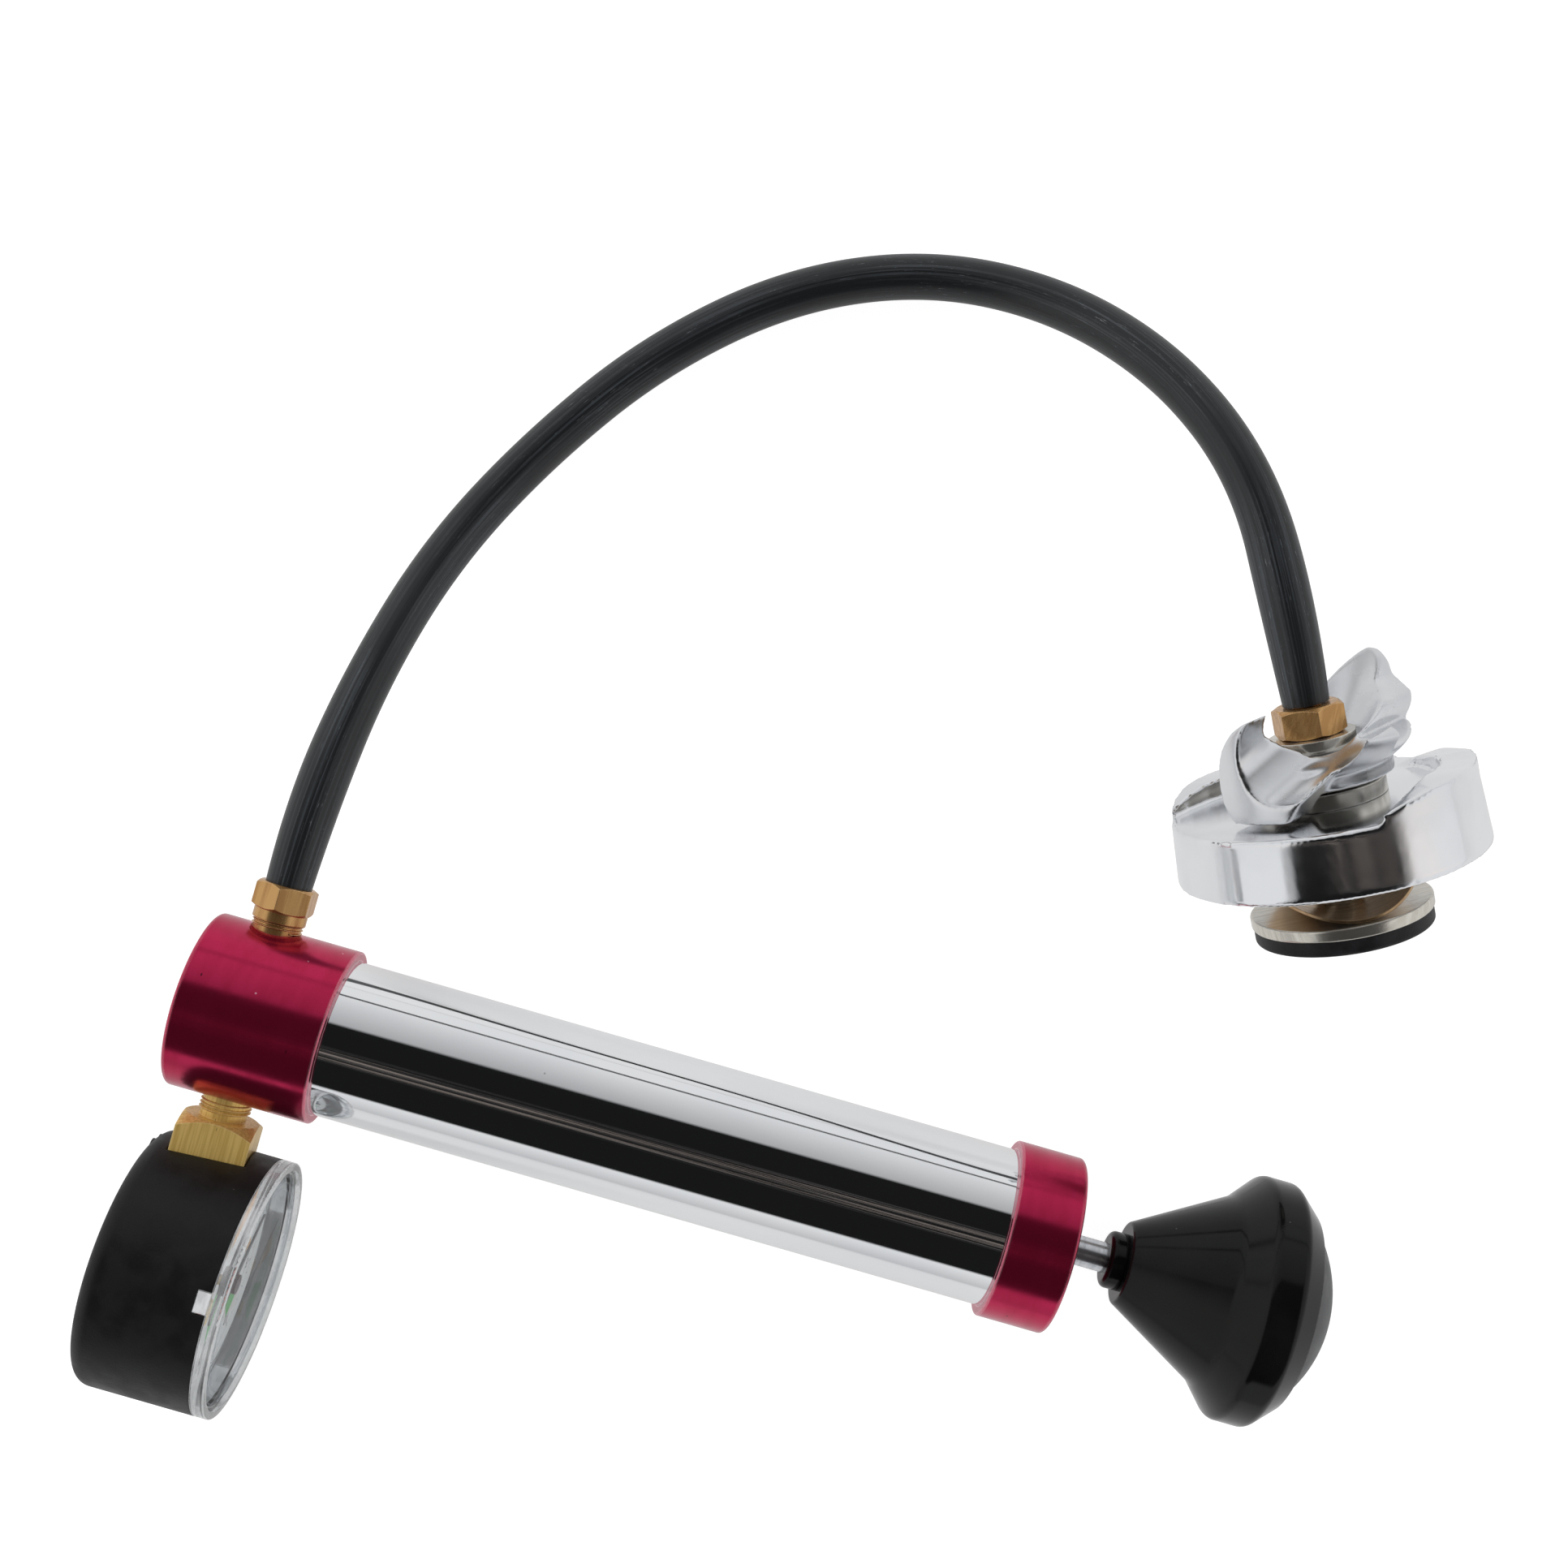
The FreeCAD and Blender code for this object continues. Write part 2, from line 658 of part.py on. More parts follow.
def make_handle():
    """Moulded knob with its nose collar, nut, washer and domed cap."""
    knob = turned(
        "handle_knob",
        [("handle_start", "rod_radius"), ("handle_start", "handle_nose_radius"),
         (CONE_END, "handle_cone_radius"), (FLANGE_START, "flange_radius"),
         (FLANGE_END, "flange_radius"), (HANDLE_BACK, BACK_RADIUS),
         (HANDLE_BACK, "dome_radius + dome_gap"), (DOME_FLOOR, "dome_radius + dome_gap"),
         (DOME_FLOOR, "handle_pocket_radius"), (POCKET_FLOOR, "handle_pocket_radius"),
         (POCKET_FLOOR, "rod_radius")],
        {1: "edge_break", 2: "2 * handle_round", 3: "handle_round", 4: "handle_round"})
    collar = ring("handle_collar", "collar_radius", "rod_radius", "handle_start - collar_length",
                  "handle_start",
                  {1: "collar_round"})
    washer = ring("handle_washer", "handle_washer_radius", "rod_radius", POCKET_FLOOR, KNOB_NUT_START)
    nut = cut("handle_nut", hexagon("handle_nut_blank", "rod_nut_width", KNOB_NUT_START, "rod_nut_height"),
              rod("handle_nut_hole", "rod_radius", KNOB_NUT_START, "rod_nut_height"))
    dome = doc.addObject("Part::Sphere", "dome_ball")
    ball_radius = "((dome_radius ^ 2 + dome_rise ^ 2) / (2 * dome_rise))"
    bind(dome, Radius=ball_radius)
    put(dome, TO_X, f"{HANDLE_BACK} + dome_rise - {ball_radius}")
    plug_blank = rod("dome_plug", "dome_radius", DOME_FLOOR, "dome_seat + 2 * dome_rise")
    keep(pump_frame, knob, collar, washer, nut, common("handle_cap", dome, plug_blank))


# ---------------------------------------------------------------- gauge
def make_stem():
    """Brass stem: threaded neck, square block and the holder inside the case."""
    thread_start = f"(gauge_offset - {CAP_RADIUS} + port_depth - fit_gap)"
    neck = cross_rod("stem_neck", "stem_neck_radius", CASE_BORE, f"{thread_start} - {CASE_BORE}",
                     PORT_STATION)
    thread_length = "(port_depth + stem_thread_show)"
    thread = cross_rod("stem_thread", "thread_radius", f"{thread_start} - {thread_length}", thread_length,
                       PORT_STATION)
    turn = Rotation(Vector(0, 1, 0), size("stem_turn"))
    half = size("stem_block_width") / 2
    corner = turn.multVec(Vector(-half, 0, -half))
    raw_square = block("stem_block_blank",
                       ("stem_block_width", f"{BLOCK_TOP} - {CASE_BORE}", "stem_block_width"),
                       (f"{PORT_STATION} + {corner.x}", CASE_BORE, f"{corner.z}"), turn)
    envelope = turned(
        "stem_block_envelope",
        [(CASE_BORE, "0"), (CASE_BORE, "stem_block_width * square_reach_share / 2")]
        + face_corners(BLOCK_TOP, "stem_block_width", "square_reach_share", "-")[::-1] + [(BLOCK_TOP, "0")])
    envelope.Placement = Placement(Vector(port_place(), 0, 0), Rotation(90, 0, 0))
    square = common("stem_block", raw_square, envelope)
    holder = block("stem_holder", (f"{FRONT_PLATE} - plate_thickness - {BACK_PLATE}",
                                   f"{CASE_BORE} - {HOLDER_START}", "holder_width"),
                   (BACK_PLATE, HOLDER_START, "-holder_width / 2"))
    foot_end = f"sqrt({CASE_BORE} ^ 2 - holder_width ^ 2 / 4) - 2 * fit_gap"
    foot = block("stem_foot", (f"{BACK_PLATE} - {CASE_FLOOR}", f"{foot_end} - {PLATE_HIGH}", "holder_width"),
                 (CASE_FLOOR, f"{PLATE_HIGH} + fit_gap", "-holder_width / 2"))
    blank = fuse("stem_blank", neck, thread, square, holder, foot)
    passage = cross_rod("stem_passage", "fitting_bore", TUBE_RADIUS,
                        f"{thread_start} - {TUBE_RADIUS} + fit_gap",
                        PORT_STATION)
    feed = doc.addObject("Part::Cylinder", "tube_feed")
    bind(feed, Radius="tube_thickness / 2 - tube_wall", Height="holder_width")
    put(feed, Rotation(), f"{CASE_FRONT} - tube_depth - tube_width / 2", f"{TUBE_RADIUS} + fitting_bore / 2",
        "-holder_width")
    holes = [rod(f"holder_hole_{place}", "screw_radius", FRONT_PLATE + " - plate_thickness - screw_length",
                 "screw_length", f"({PLATE_HIGH} + {HOLDER_START}) / 2", f"{side} * holder_width / 4")
             for place, side in enumerate((-1, 1))]
    foot_holes = [rod(f"foot_hole_{place}", "screw_radius", CASE_FLOOR, "screw_length",
                      f"({PLATE_HIGH} + {CASE_BORE}) / 2", f"{side} * holder_width / 4")
                  for place, side in enumerate((-1, 1))]
    keep(gauge_frame, cut("gauge_stem", blank, passage, feed, *holes, *foot_holes))


def make_case():
    """Moulded case with the stem's opening, the lens tab's notch and two screws."""
    blank = turned(
        "case_blank",
        [(GAUGE_BACK, "0"), (GAUGE_BACK, "gauge_radius"), (CASE_FRONT, "gauge_radius"),
         (CASE_FRONT, CASE_BORE), (CASE_FLOOR, CASE_BORE), (CASE_FLOOR, "0")],
        {1: "case_edge"})
    turn = Rotation(Vector(0, 1, 0), size("stem_turn"))
    half = size("stem_block_width") / 2 + size("block_clearance")
    corner = turn.multVec(Vector(-half, 0, -half))
    opening = block("stem_opening", ("stem_block_width + 2 * block_clearance",
                                     "2 * case_wall + stem_block_width / 2",
                                     "stem_block_width + 2 * block_clearance"),
                    (f"{PORT_STATION} + {corner.x}", f"{CASE_BORE} - stem_block_width / 4", f"{corner.z}"),
                    turn)
    notch = tab_block("case_notch", size("fit_gap") + size("lens_gap"))
    sinks = [rod(f"case_sink_{place}", "screw_head_radius + fit_gap", GAUGE_BACK, "screw_head_height",
                 f"({PLATE_HIGH} + {CASE_BORE}) / 2", f"{side} * holder_width / 4")
             for place, side in enumerate((-1, 1))]
    holes = [rod(f"case_hole_{place}", "screw_radius + fit_gap", GAUGE_BACK, "2 * case_floor",
                 f"({PLATE_HIGH} + {CASE_BORE}) / 2", f"{side} * holder_width / 4")
             for place, side in enumerate((-1, 1))]
    screws = []
    for place, side in enumerate((-1, 1)):
        across = f"({PLATE_HIGH} + {CASE_BORE}) / 2"
        up = f"{side} * holder_width / 4"
        head = rod(f"case_screw_head_{place}", "screw_head_radius", GAUGE_BACK, "screw_head_height", across,
                   up)
        shank = rod(f"case_screw_shank_{place}", "screw_radius", GAUGE_BACK, "case_floor + screw_length",
                    across, up)
        screws.append(fuse(f"case_screw_{place}", head, shank))
    keep(gauge_frame, cut("gauge_case", blank, opening, notch, *sinks, *holes), group("case_screws", *screws))


def tab_block(name, gap):
    """Radial block at the lens tab's bearing, wider than the tab by a gap."""
    inner = size("gauge_radius") - size("case_wall") - size("lens_gap") - size("lens_skirt_wall") / 2
    deep = size("gauge_radius") - inner - (size("lens_gap") if gap == 0 else -size("case_wall"))
    item = doc.addObject("Part::Box", name)
    item.Length = size("tab_reach") + gap + size("tab_rise")
    item.Width = deep
    item.Height = size("tab_width") + 2 * gap
    spin = Rotation(Vector(1, 0, 0), size("tab_angle"))
    base = spin.multVec(Vector(case_front() - size("tab_reach") - gap, inner, -item.Height.Value / 2))
    item.Placement = Placement(base, spin)
    return item


def make_lens():
    """Clear lens with a raised rim, a skirt inside the case and one locating tab."""
    window = f"({GAUGE_FRONT} - lens_recess)"
    skirt = f"({CASE_BORE} - lens_gap)"
    blank = turned(
        "lens_blank",
        [(window, "0"), (window, "gauge_radius - lens_rim - lens_slope"),
         (GAUGE_FRONT, "gauge_radius - lens_rim"), (GAUGE_FRONT, "gauge_radius"),
         (CASE_FRONT, "gauge_radius"), (CASE_FRONT, skirt), (f"{CASE_FRONT} - lens_skirt", skirt),
         (f"{CASE_FRONT} - lens_skirt", f"{skirt} - lens_skirt_wall"),
         (f"{window} - lens_thickness", f"{skirt} - lens_skirt_wall"), (f"{window} - lens_thickness", "0")],
        {3: "mouth_break"})
    keep(gauge_frame, fuse("gauge_lens", blank, tab_block("lens_tab", 0.0)))


def make_dial():
    """Dial plate with its two screws."""
    plate = rod("dial_plate", DIAL_RADIUS, f"{DIAL_FRONT} - dial_thickness", "dial_thickness")
    hole = rod("dial_hole", "2 * shaft_radius", f"{DIAL_FRONT} - dial_thickness", "dial_thickness")
    holes = [hole]
    screws = []
    for place, side in enumerate((-1, 1)):
        across = f"{side} * dial_screw_spread / 2"
        holes.append(rod(f"dial_screw_hole_{place}", "screw_radius", f"{DIAL_FRONT} - dial_thickness",
                         "dial_thickness", across))
        head = rod(f"dial_screw_head_{place}", "screw_head_radius", DIAL_FRONT, "screw_head_height / 2",
                   across)
        shank = rod(f"dial_screw_shank_{place}", "screw_radius", f"{FRONT_PLATE} - plate_thickness",
                    f"{DIAL_FRONT} - {FRONT_PLATE} + plate_thickness", across)
        screws.append(fuse(f"dial_screw_{place}", head, shank))
    keep(gauge_frame, cut("gauge_dial", plate, *holes), group("dial_screws", *screws))


def make_pointer():
    """Pointer at its zero stop, and the shaft with the pinion that carries it."""
    start = case_front() - size("dial_depth") + size("pointer_height")
    rest = (size("pointer_sweep") - 360.0) / 2
    tip = polar(size("pointer_length"), rest, start)
    tail = polar(-size("pointer_tail"), rest, start)
    side = polar(size("pointer_width") / 2, rest + 90.0)
    point = polar(size("pointer_tip_width") / 2, rest + 90.0)
    blade_shape = prism([tail + side, tip + point, tip - point, tail - side], size("pointer_thickness"))
    blade = solid("pointer_blade", blade_shape)
    hub = rod("pointer_hub", "pointer_hub_radius", f"{DIAL_FRONT} + pointer_height - pointer_thickness",
              "pointer_hub_height")
    bore = rod("pointer_bore", "shaft_radius", f"{DIAL_FRONT}", "pointer_height + pointer_hub_height / 2")
    keep(gauge_frame, cut("gauge_pointer", fuse("pointer_body", blade, hub), bore))
    axle = rod("pinion_axle", "shaft_radius", f"{BACK_PLATE} - plate_thickness",
               f"{DIAL_FRONT} + pointer_height + pointer_hub_height / 2 - {BACK_PLATE} + plate_thickness")
    teeth = solid("pinion_teeth_ring", gear_shape(int(size("pinion_teeth")), 360.0, size("sector_bearing")))
    keep(gauge_frame, fuse("pointer_shaft", axle, teeth))


# Gear tooth: its height above and depth below the pitch circle, in modules, and the
# half widths of its root and its tip as shares of the pitch.
TOOTH_RISE = 0.8
TOOTH_DEPTH = 1.0
TOOTH_ROOT = 0.36
TOOTH_TIP = 0.16


def gear_shape(teeth, span, centre_bearing):
    """Toothed disc or sector about X: teeth lie evenly about the centre bearing."""
    module = size("gear_module")
    pitch = module * teeth / 2
    top = pitch + TOOTH_RISE * module
    root = pitch - TOOTH_DEPTH * module
    step = 360.0 / teeth
    slack = math.degrees(size("gear_backlash") / pitch)
    count = int(round(span / step))
    start = case_front() - size("gear_depth")
    points = []
    for place in range(count):
        middle_of_tooth = centre_bearing + (place - (count - 1) / 2.0) * step
        for radius, share in ((root, -TOOTH_ROOT), (top, -TOOTH_TIP), (top, TOOTH_TIP), (root, TOOTH_ROOT)):
            lean = share * step - math.copysign(slack / 2, share)
            points.append(polar(radius, middle_of_tooth + lean, start))
    if span < 360.0:
        points.append(Vector(start, 0, 0))
    return prism(points, size("gear_width"))


# Places of the two pillars between the movement's plates, across and up from the dial's centre.
PILLAR_SPOTS = ((-5.5, -5.0), (-6.5, 13.2))


def make_movement():
    """Bourdon movement: plates, pillars, sector, tube, tip and link."""
    plate_side = "(plate_side + plate_side_far)"
    pivot_distance = size("gear_module") * (size("pinion_teeth") + size("sector_teeth")) / 2
    pivot = polar(pivot_distance, size("sector_bearing"))
    across, up = f"{pivot.y}", f"{pivot.z}"
    plates = []
    for name, front in (("movement_front_plate", FRONT_PLATE), ("movement_back_plate", BACK_PLATE)):
        back = f"({front} - plate_thickness)"
        oblong = block(f"{name}_oblong", ("plate_thickness", f"{PLATE_HIGH} - plate_low", plate_side),
                       (back, "plate_low", "-plate_side"))
        disc = rod(f"{name}_disc", f"{CASE_BORE} - plate_gap", back, "plate_thickness")
        sheet_metal = common(f"{name}_blank", oblong, disc)
        holes = [rod(f"{name}_shaft_hole", "shaft_radius + shaft_gap", back, "plate_thickness"),
                 rod(f"{name}_pivot_hole", "shaft_radius + shaft_gap", back, "plate_thickness", across, up)]
        plates.append((name, front, back, sheet_metal, holes))
    name, front, back, blank, holes = plates[0]
    pads = []
    for place, side in enumerate((-1, 1)):
        spread = f"{side} * dial_screw_spread / 2"
        pads.append(rod(f"dial_pad_{place}", "pad_radius", front,
                        f"{DIAL_FRONT} - dial_thickness - {front}", spread))
        holes.append(rod(f"pad_hole_{place}", "screw_radius", back,
                         f"{DIAL_FRONT} - {back}", spread))
        holes.append(rod(f"front_screw_hole_{place}", "screw_radius", back, "plate_thickness",
                         f"({PLATE_HIGH} + {HOLDER_START}) / 2", f"{side} * holder_width / 4"))
    keep(gauge_frame, cut(name, fuse("front_plate_body", blank, *pads), *holes))
    name, front, back, blank, holes = plates[1]
    keep(gauge_frame, cut(name, blank, *holes))
    pillars = [rod(f"pillar_{place}", "pillar_radius", BACK_PLATE,
                   f"{FRONT_PLATE} - plate_thickness - {BACK_PLATE}", f"{spot[0]}", f"{spot[1]}")
               for place, spot in enumerate(PILLAR_SPOTS)]
    screws = []
    for place, side in enumerate((-1, 1)):
        spot = (f"({PLATE_HIGH} + {HOLDER_START}) / 2", f"{side} * holder_width / 4")
        head = rod(f"movement_screw_head_{place}", "screw_head_radius", FRONT_PLATE, "screw_head_height",
                   *spot)
        shank = rod(f"movement_screw_shank_{place}", "screw_radius",
                    f"{FRONT_PLATE} - plate_thickness - screw_length", "screw_length + plate_thickness",
                    *spot)
        screws.append(fuse(f"movement_screw_{place}", head, shank))
    keep(gauge_frame, group("movement_pillars", *pillars), group("movement_screws", *screws))
    make_sector(pivot)
    make_tube(pivot)


def tail_bearing():
    """Bearing of the sector's tail at rest, half the sector's swing before its middle."""
    swing = size("pointer_sweep") * size("pinion_teeth") / size("sector_teeth")
    return size("sector_bearing") - swing / 2


def make_sector(pivot):
    """Toothed sector on its pivot, with a tail that the link pulls."""
    swing = size("pointer_sweep") * size("pinion_teeth") / size("sector_teeth")
    step = 360.0 / size("sector_teeth")
    half_place = 0.5 * ((round(size("sector_span") / step) + 1) % 2)
    lead = round(swing / 2 / step - half_place) + half_place
    blade_shape = gear_shape(int(size("sector_teeth")), size("sector_span"),
                             size("sector_bearing") + 180.0 - lead * step)
    blade_shape.translate(pivot)
    start = case_front() - size("gear_depth")
    bearing = tail_bearing()
    side = polar(size("arm_width") / 2, bearing + 90.0)
    foot = pivot + Vector(start, 0, 0)
    end = foot + polar(size("sector_tail"), bearing)
    arm = prism([foot + side, end + side, end - side, foot - side], size("gear_width"))
    across_x = Vector(1, 0, 0)
    boss = Part.makeCylinder(size("arm_width") / 2, size("gear_width"), foot, across_x)
    eye = Part.makeCylinder(size("arm_width") / 2, size("gear_width"), end, across_x)
    hole = Part.makeCylinder(size("link_pin_radius") + size("link_slack"), size("gear_width"), end, across_x)
    low = case_front() - size("back_plate_depth") - size("plate_thickness")
    high = case_front() - size("front_plate_depth")
    axle = Part.makeCylinder(size("shaft_radius"), high - low, pivot + Vector(low, 0, 0), across_x)
    shape = blade_shape.fuse([arm, boss, eye]).cut(hole).fuse(axle).removeSplitter()
    keep(gauge_frame, solid("sector_gear", shape))


def link_travel(pivot):
    """Path of the sector's tail pin from rest to full swing, as a straight step."""
    swing = size("pointer_sweep") * size("pinion_teeth") / size("sector_teeth")
    return polar(size("sector_tail"), tail_bearing() + swing) - polar(size("sector_tail"), tail_bearing())


def make_tube(pivot):
    """C-shaped pressure tube, its closed tip with a slotted lug, and the link."""
    front = f"({CASE_FRONT} - tube_depth)"
    inner = f"({TUBE_RADIUS} - tube_thickness / 2)"
    outer = f"({TUBE_RADIUS} + tube_thickness / 2)"
    blank = turned("tube_blank",
                   [(front, inner), (front, outer), (f"{front} - tube_width", outer),
                    (f"{front} - tube_width", inner)],
                   angle="tube_sweep", backwards=True)
    hollow = turned("tube_hollow",
                    [(f"{front} - tube_wall", f"{inner} + tube_wall"),
                     (f"{front} - tube_wall", f"{outer} - tube_wall"),
                     (f"{front} - tube_width + tube_wall", f"{outer} - tube_wall"),
                     (f"{front} - tube_width + tube_wall", f"{inner} + tube_wall")],
                    angle="tube_sweep", backwards=True)
    root = block("tube_root", ("2 * tube_width", "gauge_radius", "holder_width"),
                 (f"{front} - 1.5 * tube_width", "0", "-holder_width / 2"))
    keep(gauge_frame, cut("bourdon_tube", blank, hollow, root))
    across_x = Vector(1, 0, 0)
    link_layer = case_front() - size("gear_depth") + size("gear_width") + size("fit_gap")
    lug_layer = link_layer - size("fit_gap") - size("tip_thickness")
    tube_radius = size("gauge_radius") - size("case_wall") - size("tube_inset")
    end_bearing = -size("tube_sweep")
    outward = polar(1.0, end_bearing)
    onward = polar(1.0, end_bearing - 90.0)
    base = outward * (tube_radius - size("tip_width") / 2)
    corners = [base, base + outward * size("tip_width"),
               base + outward * size("tip_width") + onward * size("tip_length"),
               base + onward * size("tip_length")]
    tip = prism([corner + Vector(lug_layer, 0, 0) for corner in corners], size("tip_thickness"))
    cap_layer = case_front() - size("tube_depth") - size("tube_width")
    cap_base = outward * (tube_radius - size("tube_thickness") / 2) + Vector(cap_layer, 0, 0)
    cap_corners = [cap_base, cap_base + outward * size("tube_thickness"),
                   cap_base + outward * size("tube_thickness") + onward * size("tube_thickness"),
                   cap_base + onward * size("tube_thickness")]
    tip = tip.fuse(prism(cap_corners, size("tube_width")))
    travel = link_travel(pivot)
    toe = base + outward * (size("tip_width") - travel.dot(outward)) / 2 \
        + onward * (size("tip_length") - size("link_width") / 2) + Vector(link_layer, 0, 0)
    slot_radius = size("link_pin_radius") + size("fit_gap")
    depth = 2 * size("tip_thickness")
    low = toe - Vector(depth, 0, 0)
    side = Vector(0, -travel.z, travel.y).normalize() * slot_radius
    slot = prism([low + side, low + travel + side, low + travel - side, low - side], 2 * depth)
    ends = [Part.makeCylinder(slot_radius, 2 * depth, spot, across_x) for spot in (low, low + travel)]
    keep(gauge_frame, solid("tube_tip", tip.cut([slot] + ends)))
    pin = pivot + polar(size("sector_tail"), tail_bearing(), link_layer)
    run = (toe - pin).normalize()
    side = Vector(0, -run.z, run.y) * (size("link_width") / 2)
    strip = prism([pin + side, toe + side, toe - side, pin - side], size("link_thickness"))
    eyes = [Part.makeCylinder(size("link_width") / 2, size("link_thickness"), spot, across_x)
            for spot in (pin, toe)]
    reach = size("gear_width") + 2 * size("fit_gap")
    studs = [Part.makeCylinder(size("link_pin_radius"), reach, spot - Vector(reach, 0, 0), across_x)
             for spot in (pin, toe)]
    keep(gauge_frame, solid("tip_link", strip.fuse(eyes + studs).removeSplitter()))


# ---------------------------------------------------------------- hose and fittings
# Barb ring: where its slope ends and its sharp edge falls, as shares of the ring's length.
BARB_RISE = 0.35
BARB_DROP = 0.4


def barb_corners(start):
    """Saw-tooth corners of a hose barb, from its root outwards."""
    step = "(barb_length / barb_rings)"
    corners = []
    for place in range(int(size("barb_rings"))):
        corners.append((f"{start} + {place} * {step}", "barb_neck_radius"))
        corners.append((f"{start} + ({place} + {BARB_RISE}) * {step}", "barb_radius"))
        corners.append((f"{start} + ({place} + {BARB_DROP}) * {step}", "barb_radius"))
    corners.append((f"{start} + barb_length", "barb_tip_radius"))
    return corners


def make_pump_fitting():
    """Brass fitting from the head's port to the hose, made along X and stood on Y."""
    thread_start = f"({CAP_RADIUS} - port_depth + fit_gap)"
    shaft = turned(
        "pump_fitting_shaft",
        [(thread_start, "fitting_bore"), (thread_start, "thread_radius"),
         ("fitting_shoulder_start", "thread_radius"), ("fitting_shoulder_start", "fitting_shoulder_radius"),
         ("fitting_hex_end", "fitting_shoulder_radius")]
        + barb_corners("fitting_hex_end") + [("fitting_hex_end + barb_length", "fitting_bore")])
    nut = cut("pump_fitting_nut",
              chamfered_hexagon("pump_fitting_hex", "fitting_hex_width", "fitting_hex_start",
                                "(fitting_hex_end - fitting_hex_start)"),
              rod("pump_fitting_bore", "fitting_bore", "fitting_hex_start",
                  "fitting_hex_end - fitting_hex_start"))
    item = fuse("pump_hose_fitting", shaft, nut)
    stand = Placement(Vector(port_place(), 0, 0), Rotation(90, 0, 0))
    keep(pump_frame.multiply(stand), item)


def make_adapter_fitting():
    """Brass fitting in the top of the adapter's stem."""
    start = f"({STEM_TOP} - stem_thread_length)"
    hex_end = f"({STEM_TOP} + adapter_hex_length)"
    shaft = turned(
        "adapter_fitting_shaft",
        [(start, "fitting_bore"), (start, "stem_thread_radius"), (STEM_TOP, "stem_thread_radius"),
         (STEM_TOP, "fitting_shoulder_radius"), (hex_end, "fitting_shoulder_radius")]
        + barb_corners(hex_end) + [(f"{hex_end} + barb_length", "fitting_bore")])
    nut = cut("adapter_fitting_nut",
              chamfered_hexagon("adapter_fitting_hex", "adapter_hex_width", STEM_TOP, "adapter_hex_length"),
              rod("adapter_fitting_bore", "fitting_bore", STEM_TOP, "adapter_hex_length"))
    keep(adapter_frame, fuse("adapter_hose_fitting", shaft, nut))


def make_hose():
    """Rubber hose: straight runs joined by tangent arcs."""
    points = [Vector(*point) for point in HOSE_ROUTE]
    edges = []
    at = points[0]
    for before, corner, after in zip(points, points[1:], points[2:]):
        into = (corner - before).normalize()
        away = (after - corner).normalize()
        turn = into.getAngle(away)
        shorter = min(before.distanceToPoint(corner), corner.distanceToPoint(after))
        setback = HOSE_ARC_SHARE * shorter
        radius = setback / math.tan(turn / 2)
        print(f"hose bend of {math.degrees(turn):5.1f} degrees, radius {radius:6.1f} mm")
        start = corner - into * setback
        finish = corner + away * setback
        mid = corner + (away - into).normalize() * (radius / math.cos(turn / 2) - radius)
        edges.append(Part.LineSegment(at, start).toShape())
        edges.append(Part.Arc(start, mid, finish).toShape())
        at = finish
    edges.append(Part.LineSegment(at, points[-1]).toShape())
    path = Part.Wire(edges)
    section = Part.Wire([Part.Circle(points[0], points[1] - points[0], size("hose_radius")).toShape()])
    tube = path.makePipeShell([section], True, False)
    expected = math.pi * size("hose_radius") ** 2 * path.Length
    print(f"hose length {path.Length:.1f} mm, volume {tube.Volume:.0f} of {expected:.0f} mm3")
    keep(cord_frame, solid("hose", tube))


# ---------------------------------------------------------------- adapter
EAR_SECTIONS = (
    # bearing, inner edge out from the wing circle, inner height, outer height
    (84.0, 8.6, 0.02, 0.02),
    (92.0, 7.2, 0.30, 0.36),
    (104.0, 4.2, 0.78, 0.74),
    (116.0, 2.0, 1.06, 1.00),
    (130.0, 0.0, 1.12, 1.06),
    (146.0, 0.0, 1.08, 1.04),
    (158.0, 0.0, 1.00, 1.00),
    (172.0, 0.0, 1.00, 1.00),
    (184.0, 0.0, 0.80, 0.82),
    (198.0, 0.0, 0.56, 0.60),
    (212.0, 0.0, 0.04, 0.04),
)


def ear_shape(mirrored):
    """Raised grip ear on the cap's rim, lofted through sections about the axis."""
    inner_radius = size("wing_radius") + size("ear_clearance")
    rim = size("rim_radius") - size("rim_draft")
    beyond = rim + size("ear_root")
    sunk = -size("rim_round") - size("ear_root")
    height = size("ear_height")
    wires = []
    for bearing, out, low_share, high_share in EAR_SECTIONS:
        angle = 2 * size("wing_bearing") - bearing if mirrored else bearing
        inner = inner_radius + out
        corners = [polar(inner, angle, sunk), polar(inner, angle, low_share * height),
                   polar(beyond, angle, high_share * height), polar(beyond, angle, sunk)]
        wires.append(Part.makePolygon(corners + corners[:1]))
    blank = Part.makeLoft(wires, True, True)
    across_x = Vector(1, 0, 0)
    outer = Part.makeCylinder(rim, 4 * height, Vector(-2 * height, 0, 0), across_x)
    clear = Part.makeCylinder(inner_radius, 4 * height, Vector(-2 * height, 0, 0), across_x)
    return blank.common(outer).cut(clear)


